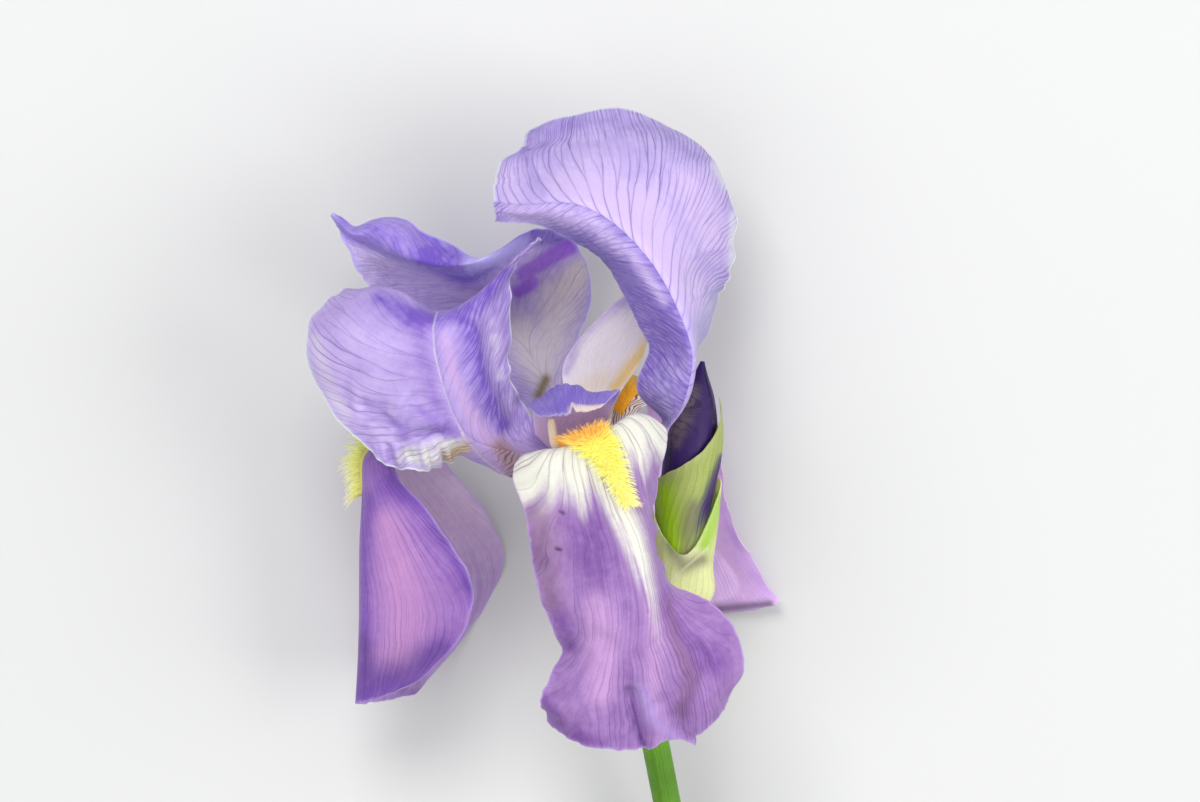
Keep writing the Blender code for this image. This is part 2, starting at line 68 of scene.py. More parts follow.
FALL_FRONT = [
    [(556, 458, 56), (564, 460, 57), (575, 462, 58), (590, 461, 58.5), (605, 458, 58), (618, 452, 57),
     (628, 446, 55.5)],
    [(521, 457, 65), (538, 451, 69), (562, 448, 71), (590, 439, 71.5), (612, 427, 70), (637, 414, 66.5),
     (660, 425, 61)],
    [(514, 479, 70), (535, 476, 74), (563, 471, 76.5), (597, 463, 77.5), (622, 452, 76), (648, 446, 72),
     (665, 452, 65)],
    [(525, 513, 74), (547, 512, 77.5), (577, 509, 80), (609, 500, 81.5), (626, 494, 81), (644, 487, 76),
     (656, 487, 68)],
    [(531, 548, 76.5), (556, 550, 78.5), (588, 548, 81), (625, 539, 83), (639, 533, 82), (651, 529, 77),
     (653, 523, 69)],
    [(543, 606, 76), (572, 607, 79), (606, 604, 82.5), (641, 596, 83.5), (655, 588, 82), (664, 581, 78),
     (666, 574, 71)],
    [(561, 650, 73), (585, 652, 78), (613, 651, 81.5), (641, 645, 81), (668, 634, 81), (693, 621, 79),
     (716, 608, 75)],
    [(543, 690, 73), (570, 696, 77), (603, 699, 79), (638, 696, 76), (675, 684, 79), (712, 668, 80),
     (742, 652, 75)],
    [(548, 721, 69), (574, 740, 73), (605, 748, 74), (644, 747, 70), (670, 739, 74), (699, 733, 75),
     (728, 702, 73)],
]
FALL_LEFT = [
    [(530, 455, 45), (530, 459, 43), (530, 461, 41), (530, 459, 38), (530, 455, 36)],
    [(462, 451, 45), (458, 453, 41), (452, 454, 37), (455, 452, 31), (462, 448, 26)],
    [(396, 462, 47), (386, 451, 44), (375, 448, 38), (392, 449, 29), (440, 455, 21)],
    [(415, 496, 49), (376, 487, 45), (363, 481, 37), (390, 484, 25), (456, 478, 14)],
    [(448, 540, 50), (392, 538, 46), (360, 532, 36), (400, 528, 21), (490, 524, 8)],
    [(473, 592, 49), (405, 597, 44), (359, 590, 34), (405, 578, 16), (499, 578, 0.6)],
    [(450, 652, 45), (402, 658, 40), (358, 650, 32), (400, 640, 17), (462, 640, 4)],
    [(400, 690, 40), (380, 699, 36), (355, 706, 31), (378, 703, 25), (414, 697, 19)],
]
FALL_REAR = [
    [(622, 440, 38), (618, 441, 37), (613, 440, 35), (607, 437, 33.5), (603, 431, 33)],
    [(652, 402, 33), (644, 398, 30.5), (634, 391, 28), (622, 383, 26.5), (612, 372, 27)],
    [(712, 426, 17), (700, 410, 16), (683, 400, 15), (664, 398, 14), (646, 402, 14)],
    [(724, 487, 10), (706, 482, 8), (684, 480, 6), (662, 482, 6), (640, 488, 9)],
    [(742, 540, 6), (716, 540, 1.6), (688, 541, -0.8), (660, 543, -0.6), (634, 548, 3.5)],
    [(765, 580, 4), (732, 586, -0.6), (697, 590, -1.2), (662, 590, -0.6), (630, 590, 3)],
    [(784, 604, 6), (752, 612, 4), (716, 617, 2.5), (682, 622, 3.5), (650, 616, 6)],
]
STANDARD_SIDE = [
    [(608, 455, 48), (610, 456, 47.8), (612, 456, 47.3), (613, 455, 46.4), (613, 454, 45.4),
     (611, 452, 44.4)],
    [(630, 443, 49.5), (636, 444, 51), (643, 443, 52), (648, 442, 50), (649, 440, 47), (646, 437, 44)],
    [(663, 422, 52), (667, 423, 54), (673, 420, 56), (677, 417, 53.5), (678, 412, 49), (673, 406, 44.5)],
    [(638, 392, 55), (658, 394, 60), (686, 394, 63), (690, 388, 58), (688, 381, 50.5), (683, 372, 44)],
    [(648, 355, 56), (668, 357, 62), (692, 364, 66.5), (695, 353, 60), (697, 343, 50), (699, 344, 41)],
    [(640, 328, 56), (661, 325, 64), (685, 329, 69), (695, 318, 62), (704, 306, 50), (717, 299, 38)],
    [(610, 270, 57), (629, 273, 66), (654, 267, 70.5), (679, 259, 62), (705, 255, 47), (731, 272, 33)],
    [(580, 245, 58), (591, 239, 66), (604, 217, 71), (652, 198, 61), (699, 180, 46), (729, 188, 31)],
    [(548, 228, 59), (553, 221, 64), (562, 203, 69), (604, 164, 58), (644, 135, 44), (664, 120, 32)],
    [(519, 223, 60), (523, 216, 63), (530, 205, 66), (550, 166, 56), (572, 137, 46), (588, 110, 37)],
    [(497, 222, 60), (496, 213, 61), (495, 203, 60), (498, 181, 56), (512, 158, 51), (527, 129, 45)],
]
STANDARD_LEFT = [
    [(550, 464, 47.5), (550, 461, 48.4), (550, 458, 49.2), (551, 455, 49.8), (553, 452, 50),
     (555, 449, 49.8)],
    [(524, 479, 49), (522, 470, 51.5), (522, 462, 53), (524, 453, 54), (529, 442, 54), (536, 430, 53)],
    [(486, 467, 50), (486, 461, 53.5), (486, 454, 56), (488, 446, 57.5), (500, 431, 57), (519, 408, 54)],
    [(454, 458, 53), (457, 451, 57), (460, 444, 59.5), (466, 434, 62), (485, 412, 61.5), (511, 380, 55.5)],
    [(423, 471, 58), (431, 452, 60.5), (440, 433, 63.5), (451, 409, 67), (477, 387, 67), (509, 350, 57)],
    [(384, 460, 58.5), (397, 435, 62.5), (415, 409, 67), (441, 377, 71), (472, 357, 70), (511, 314, 58)],
    [(334, 413, 57), (355, 394, 62), (390, 372, 68.5), (434, 343, 73), (469, 330, 71), (511, 279, 57)],
    [(305, 342, 53), (330, 338, 61), (372, 330, 67.5), (431, 319, 70.5), (473, 300, 66), (524, 251, 56)],
    [(328, 301, 50), (350, 299, 55), (387, 297, 60), (435, 312, 63), (479, 299, 60), (540, 238, 54)],
    [(348, 296, 45.5), (372, 300, 47), (404, 309, 49.5), (440, 322, 52), (480, 310, 52.5), (526, 254, 50)],
]
STANDARD_BACK = [
    [(563, 430, 36), (568, 428, 34.5), (575, 427, 34), (582, 428, 34.5), (587, 430, 36)],
    [(515, 400, 28), (532, 391, 22), (548, 386, 20), (566, 383, 23), (583, 382, 29)],
    [(462, 365, 23), (494, 350, 11), (524, 340, 6.5), (556, 337, 12), (580, 335, 22)],
    [(420, 332, 22), (456, 308, 7), (496, 292, -0.6), (545, 285, 6), (591, 275, 20)],
    [(382, 306, 25), (412, 287, 14), (450, 277, 17), (497, 266, 30), (545, 227, 31)],
    [(370, 290, 27), (392, 275, 22), (420, 271, 27), (454, 266, 36), (492, 257, 34)],
    [(358, 272, 30), (372, 261, 30), (392, 258, 37), (418, 260, 42), (456, 251, 35)],
    [(350, 256, 33), (358, 248, 33), (370, 240, 38), (384, 230, 41), (400, 218, 36)],
    [(342, 238, 35), (346, 234, 36), (350, 230, 38), (356, 226, 37), (362, 221, 34)],
    [(330, 216, 38), (331, 215, 38.5), (332, 214, 39), (334, 214, 38.5), (336, 215, 38)],
]
STYLE_FRONT = [
    [(552, 450, 50.0), (568, 446, 51.5), (586, 445, 51.5), (598, 447, 49.5)],
    [(536, 438, 53), (560, 421, 56), (590, 418, 55.5), (606, 430, 53)],
    [(533, 412, 58), (560, 402, 61), (590, 402, 61), (612, 408, 58)],
    [(529, 409, 64), (557, 386, 66), (586, 391, 66), (620, 393, 63)],
    [(541, 418, 70), (562, 414, 72), (584, 411, 72), (600, 408, 69)],
]
STYLE_REAR = [
    [(577, 428, 44), (585, 424, 43), (595, 424, 42.5), (603, 429, 42)],
    [(566, 392, 42), (580, 388, 39), (600, 387, 38), (622, 390, 37)],
    [(566, 358, 39), (584, 350, 38), (610, 350, 37), (642, 358, 35)],
    [(598, 318, 38), (610, 318, 38), (626, 322, 37), (648, 332, 35)],
    [(630, 291, 37), (636, 292, 37), (641, 296, 36.5), (647, 304, 35)],
]
STYLE_LEFT = [
    [(565, 441, 46), (563, 440, 44.5), (562, 440, 43), (563, 441, 41.5)],
    [(538, 427, 47), (533, 424, 44), (531, 424, 41), (534, 427, 37.5)],
    [(500, 414, 46.5), (494, 407, 43), (493, 407, 39), (500, 414, 34.5)],
    [(470, 404, 46), (462, 392, 43), (461, 392, 38), (470, 404, 34)],
    [(455, 390, 47), (450, 378, 44), (449, 378, 37), (455, 390, 33)],
]
STEM_LINE = [
    (706, 1000, 3.55, 3.6), (700, 970, 5.8, 3.5), (667, 802, 17.5, 3.5),
    (655, 742, 22.0, 3.5), (649, 719, 23.7, 3.7), (647, 699, 24.3, 5.2),
]
TUBE_LINE = [
    (636, 697, 24.8, 2.2), (635, 680, 26.2, 2.3), (633, 660, 28.4, 2.6), (627, 620, 33.0, 4.2),
    (618, 580, 37.0, 4.4), (606, 545, 40.5, 3.0), (593, 508, 43.8, 2.7), (587, 488, 44.8, 2.8),
    (585, 475, 45.0, 3.8), (585, 465, 45.0, 5.3),
]
BUD_LINE = [
    (659, 697, 24.6, 1.2), (660, 680, 25.4, 1.3), (664, 655, 27.0, 1.8), (674, 610, 29.2, 3.2),
    (681, 570, 30.4, 5.0), (685, 530, 31.3, 6.0), (686, 490, 31.8, 6.6), (690, 455, 32.0, 6.9),
    (694, 430, 32.0, 6.4), (699, 400, 32.0, 4.4), (701, 380, 32.0, 2.4), (703, 361, 32.0, 0.5),
]
STYLE_COLUMN = [(585, 463, 45.0, 2.1), (584, 449, 45.2, 2.1), (583, 438, 45.5, 1.2)]
STAMEN_FRONT = [
    (588, 463, 48.2, 0.5), (585, 456, 50.0, 0.5), (576, 452, 53.2, 0.5),
    (564, 450, 57, 0.8), (557, 447, 60, 1.0), (554, 440, 61, 1.05), (551, 418, 62.5, 1.0),
]
STAMEN_LEFT = [
    (572.5, 463, 44.1, 0.5), (560, 451, 43.5, 0.5), (540, 443, 43, 0.5),
    (522, 438, 42.6, 0.7), (514, 437, 42.4, 1.1), (488, 433, 41.5, 0.9),
]
STAMEN_REAR = [
    (594, 463, 42.7, 0.5), (599, 452, 41.0, 0.5), (604, 438, 39.0, 0.5),
    (607, 426, 37.6, 0.7), (608, 418, 37.2, 0.9), (612, 398, 35.5, 0.7),
]


def table_to_mm(points):
    """World positions, in millimetres, of an array of table points."""
    points = np.asarray(points, float)
    return np.stack([(points[..., 0] - CENTRE_RIGHT) / STEPS_PER_MM,
                     (CENTRE_DOWN - points[..., 1]) / STEPS_PER_MM, points[..., 2]], axis=-1)


def over_picture(points):
    """How far right and down positions in millimetres stand in the tables' steps."""
    return points[..., 0] * STEPS_PER_MM + CENTRE_RIGHT, CENTRE_DOWN - points[..., 1] * STEPS_PER_MM


def cage_through(points):
    """Control points whose smooth surface passes through the given rows of points."""
    points = np.array(points, dtype=float)
    for axis in (0, 1):
        count = points.shape[axis]
        weights = np.eye(count)
        for i in range(1, count - 1):
            weights[i, i - 1:i + 2] = (1 / 6, 4 / 6, 1 / 6)
        turned = np.moveaxis(points, axis, 0)
        solved = np.linalg.solve(weights, turned.reshape(count, -1))
        points = np.moveaxis(solved.reshape(turned.shape), 0, axis)
    return points


def spline_weights(count, places):
    """The share of each control point at each place along a row, as a matrix."""
    places = np.atleast_1d(np.asarray(places, float))
    first = np.clip(places.astype(int), 0, count - 2)
    t = places - first
    index = np.arange(len(places))
    weights = np.zeros((len(places), count + 2))
    weights[index, first] = (1 - t) ** 3 / 6
    weights[index, first + 1] = (3 * t ** 3 - 6 * t ** 2 + 4) / 6
    weights[index, first + 2] = (-3 * t ** 3 + 3 * t ** 2 + 3 * t + 1) / 6
    weights[index, first + 3] = t ** 3 / 6
    weights[:, 1] += 2 * weights[:, 0]
    weights[:, 2] -= weights[:, 0]
    weights[:, -2] += 2 * weights[:, -1]
    weights[:, -3] -= weights[:, -1]
    return weights[:, 1:-1]


def round_point(centre, radius, degrees):
    """The table point at a radius, in millimetres, and an angle round a table point."""
    right, down, height = centre
    angle = math.radians(degrees)
    return right + STEPS_PER_MM * radius * math.sin(angle), down, height + radius * math.cos(angle)


def with_foot(table, direction, radius, half_angle):
    """A petal's table with its claw's foot, on the tube's rim, before it and margins on the same sides."""
    right, down, height = TUBE_TOP
    count = len(table[0])
    foot = [round_point((right, down - TUBE_GAP, height), radius,
                        direction + half_angle * (2 * i / (count - 1) - 1)) for i in range(count)]
    if math.dist(foot[0], table[0][0]) > math.dist(foot[-1], table[0][0]):
        foot.reverse()
    return [foot] + table


def waved(table, size):
    """The table with its margins raised and lowered in turn, as a ruffled edge."""
    rows = np.array(table, float)
    for i, row in enumerate(rows):
        for end, share in ((0, 1.0), (1, 0.3), (-2, 0.3), (-1, 1.0)):
            row[end, 2] += (size if i % 2 else -size) * share
    return rows.tolist()


def step(low, high, value):
    """0 below low, 1 above high, and a smooth rise between them."""
    t = np.clip((value - low) / (high - low), 0, 1)
    return t * t * (3 - 2 * t)


def bell(value, centre, width):
    """1 at the centre and a smooth fall to both sides."""
    return np.exp(-((value - centre) / width) ** 2)


def uneven(seed, places):
    """A smooth random line between -1 and 1, with about one swing for each whole place."""
    values = np.random.default_rng(seed).uniform(-1, 1, 600)
    places = np.asarray(places, float) + 7.3
    first = np.floor(places).astype(int) % 598
    t = places - np.floor(places)
    t = t * t * (3 - 2 * t)
    return values[first] * (1 - t) + values[first + 1] * t


def unit(vectors):
    """Vectors of length one."""
    return vectors / np.maximum(np.linalg.norm(vectors, axis=-1, keepdims=True), 1e-9)


def travelled(points):
    """How far along a line of points each one is."""
    return np.concatenate([[0], np.cumsum(np.linalg.norm(np.diff(points, axis=0), axis=1))])


def stroke(right, down, line):
    """1 along a line drawn in the picture, fading to its sides: (right, down, width)."""
    best = np.zeros(right.shape)
    for (r0, d0, w0), (r1, d1, w1) in zip(line, line[1:]):
        span = (r1 - r0) ** 2 + (d1 - d0) ** 2
        t = np.clip(((right - r0) * (r1 - r0) + (down - d0) * (d1 - d0)) / span, 0, 1)
        away = np.hypot(right - r0 - t * (r1 - r0), down - d0 - t * (d1 - d0))
        best = np.maximum(best, np.exp(-(away / (w0 + (w1 - w0) * t)) ** 2))
    return best


class Sheet:
    """A fine grid on a petal. v runs 0 to 1 from claw to tip, s -1 to 1 from margin to margin."""

    def __init__(self, table, rows, columns, midrib):
        self.cage = cage_through(table_to_mm(table))
        count_v, count_u = self.cage.shape[:2]
        midrib = np.broadcast_to(midrib, count_v)
        fine_v = np.linspace(0, count_v - 1, 40 * count_v)
        middle = np.interp(fine_v, range(count_v), midrib)
        line = np.einsum("ni,nj,ijk->nk", spline_weights(count_v, fine_v),
                         spline_weights(count_u, middle), self.cage)
        length = travelled(line)
        v = np.linspace(0, 1, rows + 1)
        self.places = np.interp(v * length[-1], length, fine_v)
        lines = np.einsum("ni,ijk->njk", spline_weights(count_v, self.places), self.cage)
        fine_u = np.linspace(0, count_u - 1, 30 * count_u)
        fine_weights = spline_weights(count_u, fine_u)
        even = np.linspace(-1, 1, columns + 1)
        reach = np.abs(even)
        s = np.sign(even) * (0.35 * reach + 0.65 * (3 * reach ** 2 - 2 * reach ** 3))
        points = []
        for place, cross in zip(self.places, lines):
            reach = travelled(fine_weights @ cross)
            mid = np.interp(np.interp(place, range(count_v), midrib), fine_u, reach)
            wanted = np.where(s < 0, mid * (1 + s), mid + s * (reach[-1] - mid))
            points.append(spline_weights(count_u, np.interp(wanted, reach, fine_u)) @ cross)
        self.points = np.array(points)
        self.length = length[-1]
        self.v, self.s = np.meshgrid(v, s, indexing="ij")
        self.draw_over()

    def draw_over(self):
        """Note where each point stands in the picture."""
        self.right, self.down = over_picture(self.points)

    def slopes(self):
        """The steps along and across the grid at each point."""
        return np.gradient(self.points, axis=0), np.gradient(self.points, axis=1)

    def normals(self):
        """The upward side's normal at each point."""
        return unit(np.cross(*self.slopes()))

    def raise_by(self, height):
        """Move each point along its normal, in millimetres."""
        self.points = self.points + self.normals() * height[..., None]

    def move(self, right, up):
        """Move each point across the picture, in millimetres."""
        self.points[..., 0] += right
        self.points[..., 1] += up
        self.draw_over()

    def spread_margins(self, left, right, tip):
        """Move the margins outward, in millimetres: the left and right by row, the tip by column."""
        along, across = (unit(slope) for slope in self.slopes())
        near = step(0.72, 1.0, np.abs(self.s)) * np.sign(self.s)
        side = np.where(self.s < 0, left[:, None], right[:, None])
        end = step(0.88, 1.0, self.v) * tip[None, :]
        self.points = self.points + across * (near * side)[..., None] + along * end[..., None]

    def scallop(self, *bites):
        """Spread the margins by plain scallops."""
        self.spread_margins(*scallops(self, *bites))
        self.draw_over()

    def stroke(self, *line):
        """1 along a line drawn in the picture, fading to its sides: (right, down, width)."""
        return stroke(self.right, self.down, line)

    def most(self, *strokes):
        """The greatest of several strokes, each a weight and its line."""
        return np.maximum.reduce([weight * self.stroke(*line) for weight, *line in strokes])

    def total(self, *strokes):
        """The sum of several strokes, each a weight and its line."""
        return sum(weight * self.stroke(*line) for weight, *line in strokes)

    def rate(self, psi):
        """How fast a value changes over the surface, for each millimetre."""
        along, across = self.slopes()
        e, f, g = (np.sum(a * b, axis=-1) for a, b in ((along, along), (along, across), (across, across)))
        pv, pu = np.gradient(psi, axis=0), np.gradient(psi, axis=1)
        area = np.maximum(e * g - f * f, 1e-9)
        return np.sqrt(np.maximum((pv * pv * g - 2 * pv * pu * f + pu * pu * e) / area, 0))


def petal_sheet(table, direction, rows, columns, midrib, wave=0.0):
    """The grid of a petal that grows from the tube's rim."""
    table = with_foot(waved(table, wave), direction, CLAW_RADIUS, CLAW_HALF_ANGLE)
    return Sheet(table, rows, columns, midrib)


def new_object(name, vertices, faces, look):
    """A smooth-shaded object from positions in millimetres and faces."""
    mesh = bpy.data.meshes.new(name)
    mesh.from_pydata((np.asarray(vertices) * MM).tolist(), [], faces)
    mesh.materials.append(look)
    mesh.shade_smooth()
    return linked(name, mesh)


def linked(name, data):
    """An object with its data, in the scene."""
    piece = bpy.data.objects.new(name, data)
    bpy.context.scene.collection.objects.link(piece)
    return piece


def store(piece, name, *values):
    """Keep three values for each vertex, for the material to read."""
    made = piece.data.attributes.new(name, "FLOAT_VECTOR", "POINT")
    filled = np.stack([np.ravel(value) for value in values], axis=-1)
    made.data.foreach_set("vector", filled.astype(np.float32).ravel())


def closed_faces(rows, columns):
    """Faces of a sheet's upper side, its lower side and the rim between them."""
    index = np.arange(rows * columns).reshape(rows, columns)
    under = rows * columns
    upper = np.stack([index[:-1, :-1], index[1:, :-1], index[1:, 1:], index[:-1, 1:]], axis=-1)
    upper = upper.reshape(-1, 4)
    lower = upper[:, ::-1] + under
    loop = np.concatenate([index[:, 0], index[-1, 1:], index[-2::-1, -1], index[0, -2:0:-1]])
    after = np.roll(loop, -1)
    rim = np.stack([after, loop, loop + under, after + under], axis=-1)
    return np.concatenate([upper, lower, rim]).tolist()


def sheet_object(name, sheet, thickness, look):
    """A closed sheet of changing thickness, in millimetres, round a grid of points."""
    sheet.points[..., 2] = np.maximum(sheet.points[..., 2], thickness / 2 + FLOOR_GAP)
    half = sheet.normals() * (thickness / 2)[..., None]
    vertices = np.concatenate([(sheet.points + half).reshape(-1, 3), (sheet.points - half).reshape(-1, 3)])
    piece = new_object(name, vertices, closed_faces(*sheet.v.shape), look)
    piece.data.set_sharp_from_angle(angle=math.radians(60))
    return piece


def store_both(piece, name, shape, values, low=0.0, high=1.0):
    """Keep values, held between limits, for a sheet's upper and lower side."""
    flat = np.zeros(shape)
    store(piece, name, *(np.tile(np.clip(flat + value, low, high).ravel(), 2) for value in values))


def install(piece, node_name):
    """Say what a piece rides on, and hide the solid that it stands for."""
    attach(piece, "root")
    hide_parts(node_name)


def petal(name, node_name, sheet, look, psi, fork, tint, edge, wash, thickness=None):
    """A petal's closed sheet, with its veins and paint kept on its vertices."""
    if thickness is None:
        thickness = petal_thickness(sheet)
    piece = sheet_object(name, sheet, thickness, look)
    shape = sheet.v.shape
    store_both(piece, "vein", shape, (psi, sheet.rate(psi), fork), -np.inf, np.inf)
    store_both(piece, "tint", shape, tint)
    store_both(piece, "edge", shape, edge, high=1.6)
    store_both(piece, "wash", shape, wash)
    install(piece, node_name)


def petal_thickness(sheet, middle=0.5, margin=0.22, claw=1.0):
    """Thickest at the claw and along the midrib, thin at the margins."""
    inner = 1 - step(0.3, 1.0, np.abs(sheet.s))
    body = margin + (middle - margin) * inner + 0.15 * bell(sheet.s, 0, 0.12)
    return body + (claw - body) * (1 - step(0.0, 0.22, sheet.v))


def ruffle(sheet, seed, height, swings, left_share=1.0):
    """Waves that grow from inside a petal to its margins, uneven in height and length."""
    side = np.where(sheet.s < 0, 0.0, 41.0)
    height = height * np.where(sheet.s < 0, left_share, 1.0)
    phase = sheet.v * swings + 0.6 * uneven(seed, sheet.v * 4 + side)
    wave = np.sin(2 * np.pi * phase + side) * (0.65 + 0.35 * uneven(seed + 1, sheet.v * swings + side))
    grown = np.clip((np.abs(sheet.s) - RUFFLED_FROM) / (1 - RUFFLED_FROM), 0, 1) ** 2.0
    return height * wave * grown * step(0.16, 0.34, sheet.v)


def scallops(sheet, seed, size, swings):
    """Small bites and lobes along the margins: by row for both sides, by column for the tip."""
    v, s = sheet.v[:, 0], sheet.s[0]

    def bites(first_seed, places, finer):
        return size * (uneven(first_seed, places) + 0.6 * uneven(first_seed + 1, finer))

    grown = step(0.2, 0.4, v)
    left = bites(seed, v * swings, v * swings * 2.7) * grown
    right = bites(seed + 2, v * swings, v * swings * 2.7) * grown
    return left, right, bites(seed + 4, s * swings * 0.5 + 20, s * swings * 1.4 + 20)


def vein_ridges(sheet, psi, height, start, end):
    """Low ridges along the veins, from a start to an end row on."""
    return height * np.cos(2 * np.pi * psi) * step(start, end, sheet.v)


def rim_mask(sheet, width):
    """1 at the margins and the tip, fading inward over a width in millimetres."""
    reach = np.cumsum(np.linalg.norm(sheet.slopes()[1], axis=-1), axis=1)
    from_tip = (1 - sheet.v) * sheet.length
    away = np.minimum(np.minimum(reach - reach[:, :1], reach[:, -1:] - reach), from_tip)
    return bell(away, 0, width) * step(0.15, 0.35, sheet.v)


def colour(red, green, blue):
    """A screen colour, 0 to 255, as the shader's linear values."""
    values = []
    for part in (red, green, blue):
        part /= 255
        values.append(part / 12.92 if part <= 0.04045 else ((part + 0.055) / 1.055) ** 2.4)
    return (*values, 1.0)


class Value:
    """A value inside a material, reckoned with like a number."""

    def __init__(self, shading, socket):
        self.shading, self.socket = shading, socket

    def __add__(self, other):
        return self.shading.math("ADD", self, other)

    def __sub__(self, other):
        return self.shading.math("SUBTRACT", self, other)

    def __mul__(self, other):
        return self.shading.math("MULTIPLY", self, other)

    def __truediv__(self, other):
        return self.shading.math("DIVIDE", self, other)

    def scaled(self, factor, offset):
        return self.shading.math("MULTIPLY_ADD", self, factor, offset)

    def smooth(self, low, high, start=0.0, end=1.0):
        """A smooth step from start at low to end at high."""
        limits = {"Value": self, "From Min": low, "From Max": high, "To Min": start, "To Max": end}
        return self.shading.made("ShaderNodeMapRange", "Result", limits, interpolation_type="SMOOTHSTEP")


class Shading:
    """Adds nodes to a new material and joins them."""

    def __init__(self, name):
        self.material = bpy.data.materials.new(name)
        self.material.use_nodes = True
        self.tree = self.material.node_tree
        self.shader = self.tree.nodes["Principled BSDF"]

    def node(self, kind, inputs, **settings):
        """A node with its settings and inputs."""
        made = self.tree.nodes.new(kind)
        for key, value in settings.items():
            setattr(made, key, value)
        for key, value in inputs.items():
            self.join(made.inputs[key], value)
        return made

    def made(self, kind, output, inputs, **settings):
        """One output of a new node."""
        return Value(self, self.node(kind, inputs, **settings).outputs[output])

    def join(self, socket, value):
        """Link a value to a socket, or set the socket to a number or a screen colour."""
        if isinstance(value, Value):
            self.tree.links.new(value.socket, socket)
        else:
            socket.default_value = colour(*value) if isinstance(value, tuple) else value

    def math(self, operation, a, b=0.0, c=0.0, clamp=False):
        return self.made("ShaderNodeMath", 0, {0: a, 1: b, 2: c}, operation=operation, use_clamp=clamp)

    def mix(self, factor, a, b, blend="MIX"):
        inputs = {"Factor": factor, 6: a, 7: b}
        return self.made("ShaderNodeMix", 2, inputs, data_type="RGBA", blend_type=blend)

    def paint(self, base, *coats):
        """A colour under further coats, each a factor and its colour."""
        for factor, tone in coats:
            base = self.mix(factor, base, tone)
        return base

    def grainy(self, base, grains):
        """A colour made a little lighter and darker from grain to grain."""
        return self.mix(1.0, base, grains.scaled(0.2, 0.9), "MULTIPLY")

    def attribute(self, name):
        """The three values that store() kept."""
        kept = self.made("ShaderNodeAttribute", "Vector", {}, attribute_name=name)
        parts = self.node("ShaderNodeSeparateXYZ", {0: kept})
        return [Value(self, part) for part in parts.outputs]

    def vector(self, x, y=0.0):
        return self.made("ShaderNodeCombineXYZ", 0, {0: x, 1: y})

    def noise(self, scale, detail=2.0, roughness=0.5, vector=None):
        """A noise between 0 and 1 over the object, or over a vector."""
        vector = vector or self.made("ShaderNodeTexCoord", "Object", {})
        return self.made("ShaderNodeTexNoise", "Fac", {"Vector": vector, "Scale": scale, "Detail": detail,
                                                       "Roughness": roughness})

    def bumps(self, *layers):
        """A normal bent by layers of (height, strength, distance in metres)."""
        normal = None
        for height, strength, distance in layers:
            inputs = {"Height": height, "Strength": strength, "Distance": distance}
            if normal:
                inputs["Normal"] = normal
            normal = self.made("ShaderNodeBump", "Normal", inputs)
        return normal

    def finish(self, base, roughness, normal, sheen=0.0, specular=0.4, through=0.0):
        """The material, with a share of light let through."""
        for name, value in (("Base Color", base), ("Roughness", roughness), ("Normal", normal),
                            ("Sheen Weight", sheen), ("Specular IOR Level", specular)):
            self.join(self.shader.inputs[name], value)
        if through:
            clear = self.made("ShaderNodeBsdfTranslucent", 0, {"Color": base, "Normal": normal})
            opaque = Value(self, self.shader.outputs[0])
            surface = self.made("ShaderNodeMixShader", 0, {0: through, 1: opaque, 2: clear})
            self.join(self.tree.nodes["Material Output"].inputs["Surface"], surface)
        return self.material


def vein_lines(shading, width, wander):
    """Forking veins: a sharp line mask, a soft one round it, and the place between veins."""
    psi, rate, fork = shading.attribute("vein")
    slow = shading.noise(38.0, 1.5).scaled(1.1 * wander, -0.55 * wander)
    quick = shading.noise(180.0, 1.0).scaled(0.2 * wander, -0.1 * wander)
    psi = psi + (slow + quick)
    cell = shading.math("FLOOR", psi)
    away = psi - cell - 0.5
    branch = cell * 8.0
    for start, share, weight in ((0.00, 0.25, 4.0), (0.26, 0.125, 2.0), (0.55, 0.0625, 1.0)):
        chance = shading.made("ShaderNodeTexWhiteNoise", "Value", {"W": branch}, noise_dimensions="1D")
        low = chance.scaled(0.26, start)
        opened = fork.smooth(low, low + 0.3, 0.0, share)
        branch = shading.math("GREATER_THAN", away, 0.0).scaled(weight, branch)
        away = shading.math("ABSOLUTE", away) - opened
    chance = shading.made("ShaderNodeTexWhiteNoise", "Value", {"W": branch}, noise_dimensions="1D")
    fading = shading.noise(90.0, 2.0).scaled(1.4, -0.2)
    weight = (chance * chance).scaled(0.8, 0.3) * fading.smooth(0.1, 0.7, 0.35, 1.1)
    place = shading.math("ABSOLUTE", away) / shading.math("MAXIMUM", rate, 0.001) / width
    line = place.smooth(0.1, 1.6, 1.0, 0.0) * weight
    halo = place.smooth(0.0, 5.0, 1.0, 0.0) * weight
    return line, halo, psi, fork


